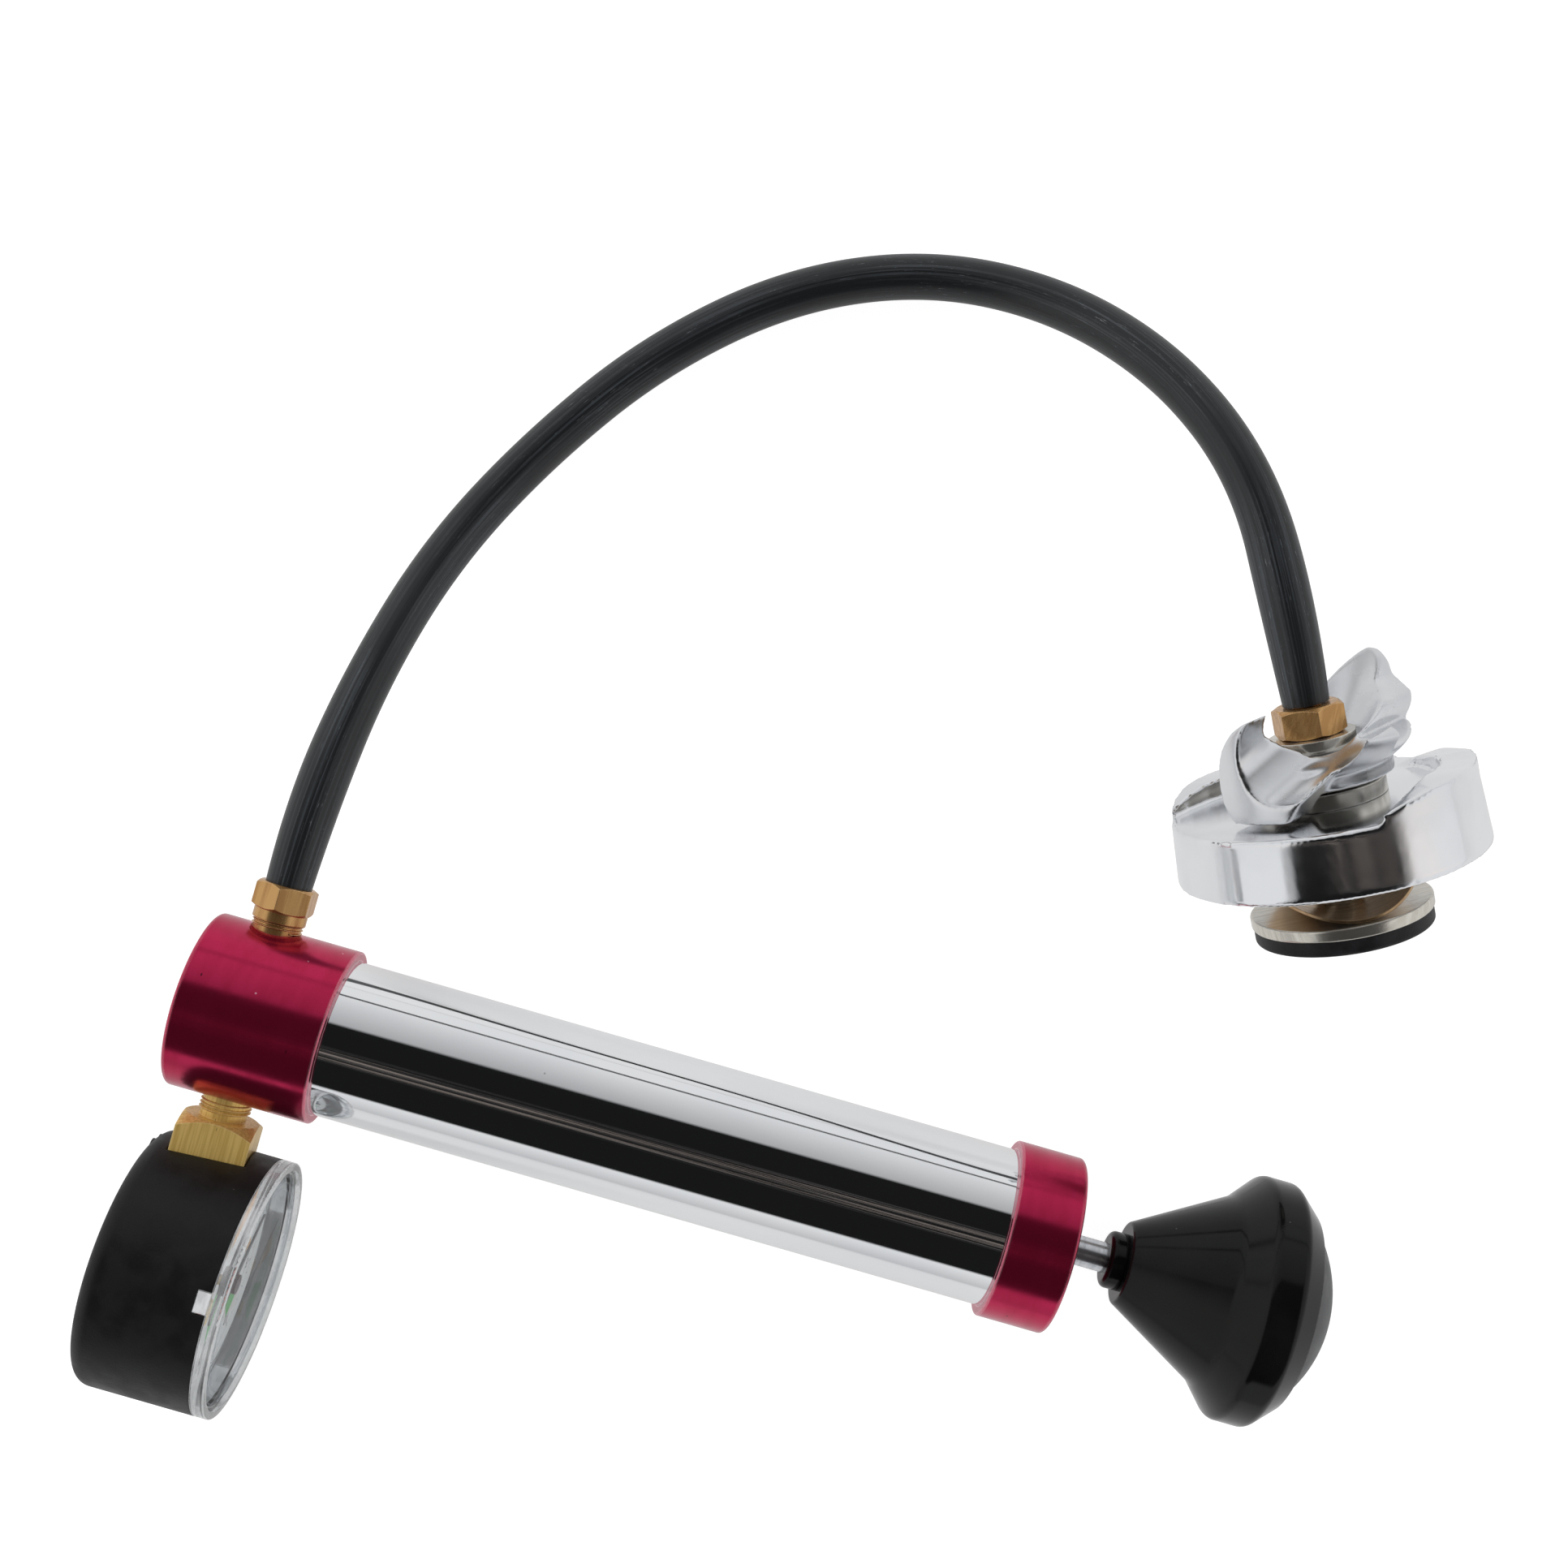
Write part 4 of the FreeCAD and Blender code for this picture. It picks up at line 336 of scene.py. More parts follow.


# the lighter edge colours below are painted highlights along edges
FINISHES = {
    "crimson": Finish("crimson_anodised", (0.53, 0.022, 0.088), (0.48, 0.018, 0.074), 0.17, metallic=0.88,
                      rough_swing=0.04, stretch=(300.0, 90.0, 90.0),
                      edge_colour=(1.0, 0.52, 0.60), edge_radius=0.60 * MM, edge_gain=24.0,
                      speck_colour=(0.80, 0.35, 0.45), speck_stretch=(600.0, 600.0, 600.0), speck_share=0.97,
                      nick_colour=(0.12, 0.01, 0.03), nick_stretch=(900.0, 330.0, 900.0), nick_share=0.993),
    "mirror": Finish("mirror_chrome", (0.88, 0.89, 0.90), (0.85, 0.86, 0.88), 0.03, metallic=1.0,
                     rough_swing=0.02, stretch=(30.0, 90.0, 90.0), edge_radius=0.2 * MM,
                     speck_colour=(0.55, 0.55, 0.56),
                     speck_stretch=(500.0, 500.0, 500.0), speck_share=0.985),
    "cast": Finish("die_cast_chrome", (0.88, 0.89, 0.91), (0.84, 0.85, 0.87), 0.10, metallic=1.0,
                   rough_swing=0.08, grain=Grain.CAST, relief=0.06, stretch=(70.0, 70.0, 70.0),
                   edge_radius=0.0,
                   speck_colour=(0.55, 0.55, 0.56), speck_stretch=(700.0, 700.0, 700.0), speck_share=0.985),
    "nut": Finish("satin_chrome", (0.80, 0.81, 0.83), (0.74, 0.75, 0.77), 0.22, metallic=1.0,
                  rough_swing=0.08, grain=Grain.CAST, relief=0.05, stretch=(70.0, 70.0, 70.0),
                  edge_radius=0.0,
                  speck_colour=(0.52, 0.52, 0.53), speck_stretch=(700.0, 700.0, 700.0), speck_share=0.985),
    "brass": Finish("machined_brass", (0.90, 0.63, 0.21), (0.72, 0.47, 0.13), 0.34, metallic=0.45,
                    grain=Grain.LAID, stretch=(2200.0, 70.0, 2200.0), relief=0.30,
                    edge_colour=(0.98, 0.80, 0.42), edge_radius=0.25 * MM, nick_colour=(0.32, 0.19, 0.05),
                    nick_stretch=(2200.0, 420.0, 2200.0), nick_share=0.95),
    "brass_dark": Finish("drawn_brass", (0.62, 0.36, 0.14), (0.50, 0.27, 0.10), 0.24, metallic=0.85,
                         grain=Grain.LAID, stretch=(900.0, 60.0, 900.0), relief=0.12,
                         edge_colour=(0.90, 0.64, 0.36), edge_radius=0.2 * MM),
    "bronze": Finish("spring_bronze", (0.55, 0.38, 0.22), (0.46, 0.30, 0.17), 0.28, metallic=1.0,
                     grain=Grain.LAID, stretch=(60.0, 60.0, 1200.0), relief=0.1),
    "nickel": Finish("nickel_plate", (0.74, 0.71, 0.64), (0.64, 0.61, 0.54), 0.20, metallic=0.9,
                     grain=Grain.LAID, stretch=(200.0, 200.0, 1500.0), relief=0.12,
                     edge_colour=(0.92, 0.90, 0.84),
                     speck_colour=(0.34, 0.32, 0.28), speck_share=0.96),
    "zinc": Finish("bright_zinc", (0.70, 0.72, 0.75), (0.58, 0.60, 0.63), 0.22, metallic=0.9,
                   grain=Grain.LAID, stretch=(1500.0, 120.0, 120.0), relief=0.03),
    "black_steel": Finish("black_steel", (0.03, 0.03, 0.03), (0.05, 0.05, 0.05), 0.4, metallic=0.6),
    "aluminium": Finish("turned_aluminium", (0.72, 0.73, 0.74), (0.66, 0.67, 0.68), 0.25, metallic=1.0,
                        grain=Grain.LAID, stretch=(2500.0, 60.0, 60.0), relief=0.1),
    "seal": Finish("seal_rubber", (0.008, 0.008, 0.009), (0.018, 0.018, 0.02), 0.50,
                   grain=Grain.MOULDED, relief=0.3, speck_colour=(0.10, 0.10, 0.11),
                   speck_stretch=(700.0, 700.0, 700.0), speck_share=0.96,
                   specular=0.3),
    "gloss": Finish("gloss_black_plastic", (0.004, 0.004, 0.004), (0.006, 0.006, 0.006), 0.10,
                    stretch=(60.0, 60.0, 60.0), edge_radius=0.7 * MM, speck_colour=(0.06, 0.06, 0.07),
                    speck_stretch=(380.0, 380.0, 380.0), speck_share=0.96, specular=0.20),
    "dome": Finish("satin_dome_plastic", (0.052, 0.053, 0.056), (0.062, 0.063, 0.066), 0.38, rough_swing=0.08,
                   grain=Grain.MOULDED, relief=0.05, speck_colour=(0.12, 0.12, 0.13), speck_share=0.96,
                   specular=0.35),
    "case": Finish("black_case_plastic", (0.006, 0.006, 0.006), (0.009, 0.009, 0.009), 0.44, rough_swing=0.1,
                   grain=Grain.MOULDED, relief=0.22, edge_radius=0.6 * MM, speck_colour=(0.06, 0.06, 0.06),
                   speck_stretch=(420.0, 420.0, 420.0), speck_share=0.965, specular=0.28),
    "dial": Finish("dial_white", (0.88, 0.88, 0.86), (0.84, 0.84, 0.82), 0.5, rough_swing=0.05),
    "ink": Finish("dial_black_ink", (0.015, 0.015, 0.018), (0.02, 0.02, 0.024), 0.5),
    "ink_red": Finish("dial_red_ink", (0.40, 0.05, 0.03), (0.38, 0.05, 0.03), 0.5),
    "ink_green": Finish("dial_green_ink", (0.09, 0.50, 0.14), (0.08, 0.46, 0.12), 0.5),
    "ink_amber": Finish("dial_amber_ink", (0.85, 0.42, 0.08), (0.80, 0.38, 0.07), 0.5),
    "pointer": Finish("pointer_enamel", (0.012, 0.012, 0.016), (0.02, 0.02, 0.024), 0.35),
    "frost": Finish("frosted_plastic", (0.80, 0.81, 0.82), (0.62, 0.63, 0.64), 0.35,
                    stretch=(700.0, 300.0, 300.0)),
}


class Finishes:
    """All materials, built once and handed out by name."""

    def __init__(self) -> None:
        """Build every plain finish, the clear lens and the hose's rubber."""
        self.made = {key: finish.build() for key, finish in FINISHES.items()}
        self.made["lens"] = self.clear_plastic()
        self.made["hose"] = self.hose_rubber()

    def __getitem__(self, key: str) -> bpy.types.Material:
        """Material by its key."""
        return self.made[key]

    def clear_plastic(self) -> bpy.types.Material:
        """Clear moulded lens plastic that turns cloudy in its thick rim and tab.

        Returns:
            The material.
        """
        material = bpy.data.materials.new("clear_lens_plastic")
        material.use_nodes = True
        graph = Graph(material.node_tree)
        low, high = node_box("gauge_lens")
        middle = (low + high) / 2
        out = graph.node("VectorMath", {0: graph.node("TexCoord").outputs["Object"],
                                        1: (0.0, middle.y, middle.z)}, operation="SUBTRACT").outputs[0]
        flat = graph.node("VectorMath", {0: out, 1: (0.0, 1.0, 1.0)}, operation="MULTIPLY").outputs[0]
        radius = graph.node("VectorMath", {0: flat}, operation="LENGTH").outputs["Value"]
        outer = (high.y - low.y) / 2
        rim = graph.spread(radius, outer - 2.4 * MM, outer - 1.2 * MM)
        clouds = graph.node("TexNoise", {"Vector": graph.stretched((300.0, 120.0, 120.0)), "Scale": 1.0,
                                         "Detail": 4.0}).outputs[0]
        cloudy = graph.spread(clouds, 0.35, 0.65, 0.08, 0.45)
        edge = graph.node("Group", {"Radius": 0.2 * MM}, node_tree=GROUPS["edge"])
        glass, haze = (graph.node("BsdfPrincipled", {
            "Base Color": (0.93, 0.94, 0.95), "Roughness": 0.03, "Metallic": 0.0, "IOR": 1.49,
            "Transmission Weight": weight, "Specular IOR Level": 0.35, "Normal": edge.outputs["Normal"]})
            for weight in (1.0, 0.0))
        shader = graph.node("MixShader", {0: graph.maths("MULTIPLY", rim, cloudy), 1: glass.outputs[0],
                                          2: haze.outputs[0]})
        # light and sight go straight through the flat window
        path = graph.node("LightPath")
        passing = graph.maths("MAXIMUM", path.outputs["Is Shadow Ray"], path.outputs["Is Diffuse Ray"])
        window = graph.spread(radius, outer - 2.2 * MM, outer - 2.6 * MM, 0.0, 0.86)
        through = graph.maths("MAXIMUM", graph.maths("MULTIPLY", passing, 0.9), window)
        open_air = graph.node("BsdfTransparent", {"Color": (0.96, 0.97, 0.98)})
        mixed = graph.node("MixShader", {0: through, 1: shader.outputs[0], 2: open_air.outputs[0]})
        graph.node("OutputMaterial", {"Surface": mixed.outputs[0]})
        return material

    def hose_rubber(self) -> bpy.types.Material:
        """Dusty black rubber with lengthwise streaks and scuffs, laid along the hose's own UV map.

        Returns:
            The material.
        """
        material = bpy.data.materials.new("hose_rubber")
        material.use_nodes = True
        graph = Graph(material.node_tree)
        streak = graph.node("TexNoise", {"Vector": graph.along_hose((2.5, 46.0, 1.0)), "Scale": 1.0,
                                         "Detail": 7.0, "Roughness": 0.68}).outputs[0]
        bloom = graph.node("TexNoise", {"Vector": graph.along_hose((9.0, 4.0, 1.0)), "Scale": 1.0,
                                        "Detail": 3.0}).outputs[0]
        scuff = graph.node("TexNoise", {"Vector": graph.along_hose((70.0, 120.0, 1.0)), "Scale": 1.0,
                                        "Detail": 5.0, "Roughness": 0.8}).outputs[0]
        patches = graph.spread(bloom, 0.38, 0.64, 0.15, 1.0)
        dusty = graph.maths("MULTIPLY", graph.spread(streak, 0.48, 0.70), patches)
        colour = graph.blend(dusty, (0.010, 0.011, 0.012), (0.090, 0.102, 0.116))
        marks = graph.maths("MULTIPLY", graph.spread(scuff, 0.61, 0.68), graph.spread(bloom, 0.44, 0.58))
        colour = graph.blend(marks, colour, (0.26, 0.28, 0.30))
        rough = graph.spread(dusty, 0.0, 1.0, 0.34, 0.60)
        bump = graph.node("Bump", {"Strength": 0.30, "Distance": 0.1 * MM, "Height": streak}).outputs[0]
        shader = graph.node("BsdfPrincipled", {"Base Color": colour, "Roughness": rough, "Normal": bump})
        graph.node("OutputMaterial", {"Surface": shader.outputs[0]})
        return material


# ---------------------------------------------------------------- mesh helpers
def node_box(name: str) -> tuple[Vector, Vector]:
    """Lowest and highest corner of a CAD node, as vectors.

    Args:
        name: The node's name.

    Returns:
        The two corners in the part's frame.
    """
    low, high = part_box(name)
    return Vector(low), Vector(high)


def soft_copy(node: str, name: str, body: Body, material: bpy.types.Material, voxel: float,
              passes: int) -> None:
    """Cast look for a CAD node: an even mesh of its shape with its edges smoothed round.

    Args:
        node: The CAD node that the piece stands for.
        name: The piece's name.
        body: The body it rides on.
        material: Its material.
        voxel: Cell size of the even mesh.
        passes: Number of smoothing passes.
    """
    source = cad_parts[node]
    merged = bmesh.new()
    merged.from_mesh(source.data)
    merged.transform(source.matrix_world)
    bmesh.ops.remove_doubles(merged, verts=merged.verts, dist=COPY_JOIN_DISTANCE)
    data = bpy.data.meshes.new(f"{name}_blank")
    merged.to_mesh(data)
    merged.free()
    blank = bpy.data.objects.new(f"{name}_blank", data)
    bpy.context.scene.collection.objects.link(blank)
    cells = blank.modifiers.new("cells", "REMESH")
    cells.mode = "VOXEL"
    cells.voxel_size = voxel
    rounder = blank.modifiers.new("rounder", "SMOOTH")
    rounder.factor = ROUNDING
    rounder.iterations = passes
    shaped = bpy.data.meshes.new_from_object(blank.evaluated_get(bpy.context.evaluated_depsgraph_get()))
    bpy.data.objects.remove(blank)
    mesh = bmesh.new()
    mesh.from_mesh(shaped)
    bpy.data.meshes.remove(shaped)
    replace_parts(add_piece(name, mesh, body, material), node)


def paint(finishes: Finishes, chosen: dict[str, tuple[str, ...]]) -> None:
    """Give CAD nodes their finish.

    Args:
        finishes: The materials.
        chosen: Node names by the key of their finish.
    """
    for key, names in chosen.items():
        for name in names:
            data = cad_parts[name].data
            data.materials.clear()
            data.materials.append(finishes[key])


def coil(foot: Vector, axis: Vector, radius: float, rise: float, pitch: float,
         turns: float) -> bmesh.types.BMesh:
    """Screw thread: a three-sided ridge wound around an axis.

    Args:
        foot: Start on the axis.
        axis: Unit direction of the winding.
        radius: Radius of the ground that the ridge stands on.
        rise: Height of the ridge.
        pitch: Advance in one turn.
        turns: Number of turns.

    Returns:
        The closed ridge.
    """
    mesh = bmesh.new()
    side = axis.orthogonal().normalized()
    root = radius - THREAD_ROOT
    corners = ((root, 0.0), (radius + rise, THREAD_PEAK), (root, THREAD_WIDTH))
    spots = [mesh.verts.new(foot + side * out + axis * (share * pitch)) for out, share in corners]
    edges = [mesh.edges.new((spots[place], spots[(place + 1) % 3])) for place in range(3)]
    steps = round(turns * THREAD_STEPS)
    bmesh.ops.spin(mesh, geom=spots + edges, cent=foot, axis=axis, dvec=axis * (pitch / THREAD_STEPS),
                   angle=2 * math.pi * turns, steps=steps, use_duplicate=False)
    bmesh.ops.holes_fill(mesh, edges=mesh.edges[:], sides=3)
    return mesh


def hoop(centre: Vector, radius: float, profile: tuple[tuple[float, float], ...]) -> bmesh.types.BMesh:
    """Ring about the X direction from a closed profile of (along, outwards) corners.

    Args:
        centre: Centre of the ring.
        radius: Radius that the profile's outward lengths are counted from.
        profile: The corners.

    Returns:
        The closed ring.
    """
    mesh = bmesh.new()
    spots = [mesh.verts.new(centre + Vector((along, radius + out, 0.0))) for along, out in profile]
    edges = [mesh.edges.new((spot, spots[(place + 1) % len(spots)])) for place, spot in enumerate(spots)]
    bmesh.ops.spin(mesh, geom=spots + edges, cent=centre, axis=(1.0, 0.0, 0.0), angle=2 * math.pi,
                   steps=HOOP_STEPS, use_merge=True, use_duplicate=False)
    return mesh


def add_piece(name: str, mesh: bmesh.types.BMesh, body: Body, material: bpy.types.Material,
              smooth: bool = True) -> bpy.types.Object:
    """Turn a bmesh into a piece at the origin that rides on a body.

    Args:
        name: The piece's name.
        mesh: Its shape in the part's frame; freed here.
        body: The body it rides on.
        material: Its material.
        smooth: Whether its faces are shaded smooth.

    Returns:
        The new object.
    """
    bmesh.ops.remove_doubles(mesh, verts=mesh.verts, dist=JOIN_DISTANCE)
    bmesh.ops.recalc_face_normals(mesh, faces=mesh.faces)
    for face in mesh.faces:
        face.smooth = smooth
    data = bpy.data.meshes.new(name)
    mesh.to_mesh(data)
    mesh.free()
    data.materials.append(material)
    piece = bpy.data.objects.new(name, data)
    bpy.context.scene.collection.objects.link(piece)
    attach(piece, body.value)
    return piece


def add_print(name: str, mesh: bmesh.types.BMesh, material: bpy.types.Material) -> None:
    """Turn flat print into a piece of the dial that faces along +X.

    Args:
        name: The piece's name.
        mesh: The flat faces; freed here.
        material: Its ink.
    """
    mesh.normal_update()
    for face in mesh.faces:
        if face.normal.x < 0.0:
            face.normal_flip()
    data = bpy.data.meshes.new(name)
    mesh.to_mesh(data)
    mesh.free()
    data.materials.append(material)
    piece = bpy.data.objects.new(name, data)
    bpy.context.scene.collection.objects.link(piece)
    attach(piece, Body.TESTER.value)


# ---------------------------------------------------------------- pump
@dataclass
class Pump:
    """Hand pump: head with its check valve, barrel, end cap, plunger and hose fitting."""

    thread_pitch: float = 0.70 * MM
    thread_rise: float = 0.42 * MM
    thread_radius: float = 4.72 * MM
    thread_turns: float = 2.6
    thread_sunk: float = 0.3 * MM

    def build(self, finishes: Finishes) -> None:
        """Dress the pump's nodes and wind the visible thread of its hose fitting.

        Args:
            finishes: The materials.
        """
        paint(finishes, {
            "crimson": ("pump_head", "end_cap"),
            "mirror": ("barrel",),
            "brass": ("valve_seat",),
            "brass_dark": ("pump_hose_fitting",),
            "bronze": ("rod_bush",),
            "zinc": ("valve_spring", "piston_rod", "cup_washer", "piston_nut", "back_nut", "handle_washer",
                     "handle_nut"),
            "aluminium": ("piston",),
            "seal": ("barrel_gasket", "valve_disc", "cup_seal", "stop_bumper"),
            "gloss": ("handle_knob", "handle_collar"),
            "dome": ("handle_cap",),
        })
        low, high = node_box("pump_hose_fitting")
        side = node_box("pump_head")[1].y
        foot = Vector(((low.x + high.x) / 2, side - self.thread_sunk, (low.z + high.z) / 2))
        ridge = coil(foot, Vector((0.0, 1.0, 0.0)), self.thread_radius, self.thread_rise, self.thread_pitch,
                     self.thread_turns)
        add_piece("hose_fitting_thread", ridge, Body.TESTER, finishes["brass_dark"],
                  smooth=False)
        LOG.info("pump dressed")


# ---------------------------------------------------------------- gauge
@dataclass
class Gauge:
    """Dial gauge: case, lens, printed dial, pointer, movement and stem."""

    sweep: float = 270.0
    band_inner: float = 6.5 * MM
    band_outer: float = 14.0 * MM
    tick_outer: float = 18.6 * MM
    tick_long: float = 2.6 * MM
    tick_short: float = 1.4 * MM
    tick_half_long: float = 0.0011
    tick_half_short: float = 0.0006
    line_width: float = 0.12 * MM
    line_gap: float = 0.9 * MM
    number_radius: float = 15.5 * MM
    number_height: float = 3.0 * MM
    number_step: int = 5
    print_lift: float = 0.03 * MM
    bands: tuple[tuple[str, float, float], ...] = (("ink_amber", 0.00, 0.10), ("ink_green", 0.20, 0.34),
                                                   ("ink_red", 0.78, 0.94))
    steps: int = 30
    print_steps: int = 90
    window_depth: float = 1.0 * MM
    lens_steps: tuple[float, ...] = (22.9 * MM, 21.6 * MM, 20.2 * MM)
    lens_step_profile: tuple[tuple[float, float], ...] = (
        (0.0, -0.30 * MM), (0.35 * MM, -0.12 * MM), (0.35 * MM, 0.12 * MM), (0.0, 0.30 * MM),
        (-0.10 * MM, 0.0))
    tab_bearing: float = 83.0
    tab_face: Triple = (2.5 * MM, 0.36 * MM, 4.0 * MM)
    thread_pitch: float = 0.80 * MM
    thread_rise: float = 0.42 * MM
    thread_radius: float = 4.72 * MM
    thread_turns: float = 3.0
    thread_sunk: float = 0.3 * MM

    def __post_init__(self) -> None:
        """Find the dial's centre and face."""
        low, high = node_box("gauge_dial")
        self.centre = Vector((high.x, (low.y + high.y) / 2, (low.z + high.z) / 2))

    def spot(self, share: float, radius: float) -> Vector:
        """Point on the print's plane at a share of the scale.

        Args:
            share: Place on the scale, 0 at its start and 1 at its end.
            radius: Distance from the dial's centre.

        Returns:
            The point in the part's frame.
        """
        angle = math.radians((share - 0.5) * self.sweep)
        return self.centre + Vector((self.print_lift, -radius * math.cos(angle), radius * math.sin(angle)))

    def strip(self, mesh: bmesh.types.BMesh, start: float, end: float, inner: float, outer: float) -> None:
        """Add one ring sector of print between two shares of the scale.

        Args:
            mesh: The print that it is added to.
            start: Share of the scale where it starts.
            end: Share of the scale where it ends.
            inner: Its inner radius.
            outer: Its outer radius.
        """
        count = max(1, round((end - start) * self.print_steps))
        rows = [[mesh.verts.new(self.spot(start + (end - start) * place / count, radius))
                 for radius in (inner, outer)] for place in range(count + 1)]
        for before, after in zip(rows, rows[1:]):
            mesh.faces.new((before[0], before[1], after[1], after[0]))

    def print_bands(self, finishes: Finishes) -> None:
        """Print the coloured bands.

        Args:
            finishes: The materials.
        """
        for key, start, end in self.bands:
            mesh = bmesh.new()
            self.strip(mesh, start, end, self.band_inner, self.band_outer)
            add_print(f"dial_band_{key[4:]}", mesh, finishes[key])

    def print_ticks(self, finishes: Finishes) -> None:
        """Print the scale's marks and its two thin circles.

        Args:
            finishes: The materials.
        """
        mesh = bmesh.new()
        for place in range(self.steps + 1):
            share = place / self.steps
            long = place % self.number_step == 0
            half = self.tick_half_long if long else self.tick_half_short
            length = self.tick_long if long else self.tick_short
            self.strip(mesh, share - half, share + half, self.tick_outer - length, self.tick_outer)
        circle = self.band_outer + self.line_gap
        self.strip(mesh, 0.0, 1.0, self.tick_outer - self.line_width, self.tick_outer)
        self.strip(mesh, 0.0, 1.0, circle, circle + self.line_width)
        add_print("dial_scale", mesh, finishes["ink"])

    def print_numbers(self, finishes: Finishes) -> None:
        """Print plain numbers at the long marks.

        Args:
            finishes: The materials.
        """
        for place in range(0, self.steps + 1, self.number_step):
            text = bpy.data.curves.new("number", "FONT")
            text.body = str(place)
            text.size = self.number_height
            text.align_x = "CENTER"
            text.align_y = "CENTER"
            holder = bpy.data.objects.new("number", text)
            flat = bpy.data.meshes.new_from_object(holder)
            bpy.data.objects.remove(holder)
            bpy.data.curves.remove(text)
            spot = self.spot(place / self.steps, self.number_radius)
            turn = Matrix(((0.0, 0.0, 1.0, spot.x), (0.0, -1.0, 0.0, spot.y),
                           (1.0, 0.0, 0.0, spot.z), (0.0, 0.0, 0.0, 1.0)))
            mesh = bmesh.new()
            mesh.from_mesh(flat)
            bpy.data.meshes.remove(flat)
            mesh.transform(turn)
            add_print(f"dial_number_{place}", mesh, finishes["ink"])

    def mould_lens(self, finishes: Finishes) -> None:
        """Mould the lens's round steps and the frosted face of its tab.

        Args:
            finishes: The materials.
        """
        low, high = node_box("gauge_lens")
        window = Vector((high.x - self.window_depth, self.centre.y, self.centre.z))
        for place, radius in enumerate(self.lens_steps):
            ring = hoop(window, radius, self.lens_step_profile)
            add_piece(f"lens_step_{place}", ring, Body.TESTER, finishes["lens"])
        outer = (high.y - low.y) / 2 - self.tab_face[1] / 2
        turn = Matrix.Rotation(math.radians(self.tab_bearing), 4, "X")
        front = node_box("gauge_case")[1].x
        spot = Vector((front - self.tab_face[0] / 2, self.centre.y, self.centre.z))
        face = bmesh.new()
        tab = Matrix.Translation(spot) @ turn @ Matrix.Translation((0.0, outer, 0.0))
        bmesh.ops.create_cube(face, size=1.0, matrix=tab @ Matrix.Diagonal((*self.tab_face, 1.0)))
        add_piece("lens_tab_face", face, Body.TESTER, finishes["frost"], smooth=False)

    def build(self, finishes: Finishes) -> None:
        """Dress the gauge's nodes, print the dial and add the lens's and the stem's details.

        Args:
            finishes: The materials.
        """
        paint(finishes, {
            "case": ("gauge_case",),
            "lens": ("gauge_lens",),
            "dial": ("gauge_dial",),
            "pointer": ("gauge_pointer",),
            "black_steel": ("case_screws",),
            "brass": ("gauge_stem", "dial_screws", "pointer_shaft", "movement_front_plate",
                      "movement_back_plate", "movement_pillars", "movement_screws", "sector_gear",
                      "tip_link"),
            "bronze": ("bourdon_tube", "tube_tip"),
        })
        self.print_bands(finishes)
        self.print_ticks(finishes)
        self.print_numbers(finishes)
        self.mould_lens(finishes)
        side = node_box("pump_head")[0].y
        low, high = node_box("pump_hose_fitting")
        foot = Vector(((low.x + high.x) / 2, side + self.thread_sunk, self.centre.z))
        ridge = coil(foot, Vector((0.0, -1.0, 0.0)), self.thread_radius, self.thread_rise, self.thread_pitch,
                     self.thread_turns)
        add_piece("stem_thread", ridge, Body.TESTER, finishes["brass"], smooth=False)
        LOG.info("gauge dressed and printed")


# ---------------------------------------------------------------- adapter
@dataclass
class Adapter:
    """Cap adapter: chromed cap and wing nut, bush, seal and hose fitting."""

    cap_cell: float = 0.50 * MM
    cap_passes: int = 5
    nut_cell: float = 0.35 * MM
    nut_passes: int = 22

    def build(self, finishes: Finishes) -> None:
        """Dress the adapter's nodes.

        Args:
            finishes: The materials.
        """
        paint(finishes, {
            "nickel": ("hub_bush", "thrust_washer", "stem_tube", "seal_plate", "seal_retainer"),
            "bronze": ("leaf_spring",),
            "seal": ("seal_gasket",),
            "brass_dark": ("adapter_hose_fitting",),
        })
        soft_copy("cap_body", "cast_cap", Body.CAP, finishes["cast"], self.cap_cell, self.cap_passes)
        soft_copy("wing_nut", "cast_wing_nut", Body.WING_NUT, finishes["nut"], self.nut_cell,
                  self.nut_passes)
        LOG.info("adapter dressed")


# ---------------------------------------------------------------- hose
@dataclass
class Hose:
    """Rubber hose from the pump's fitting to the adapter's."""

    diameter: float = 9.5 * MM
    length: float = 330.0 * MM
    swells: tuple[tuple[int, float], ...] = ((0, 0.98), (1, 1.12), (-2, 1.14), (-1, 0.95))
    round_steps: int = 12
    long_steps: int = 24
    route: tuple[Triple, ...] = (
        (-106.68, -0.14, 25.8), (-106.68, 16.86, 25.8), (-104.28, 45.06, 20.0), (-98.48, 73.46, 10.3),
        (-86.18, 100.06, 4.9), (-68.38, 125.66, 4.9), (-44.68, 146.96, 4.9), (-17.48, 158.96, 4.9),
        (10.52, 158.86, 12.0), (35.22, 147.46, 26.5), (54.52, 129.36, 36.8), (68.42, 104.46, 38.9),
        (76.52, 89.86, 35.8))

    def build(self, finishes: Finishes) -> None:
        """Lay the hose on one smooth spline.

        Args:
            finishes: The materials.
        """
        data = bpy.data.curves.new("rubber_hose", "CURVE")
        data.dimensions = "3D"
        data.bevel_depth = self.diameter / 2
        data.bevel_resolution = self.round_steps
        data.resolution_u = self.long_steps
        data.use_fill_caps = True
        spline = data.splines.new("NURBS")
        spline.points.add(len(self.route) - 1)
        for point, spot in zip(spline.points, self.route):
            point.co = (*(Vector(spot) * MM), 1.0)
        for place, swell in self.swells:
            spline.points[place].radius = swell
        spline.order_u = 3
        spline.use_endpoint_u = True
        data.materials.append(finishes["hose"])
        piece = bpy.data.objects.new("rubber_hose", data)
        bpy.context.scene.collection.objects.link(piece)
        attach(piece, Body.TESTER.value)
        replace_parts(piece, "hose")
        LOG.info("hose laid")


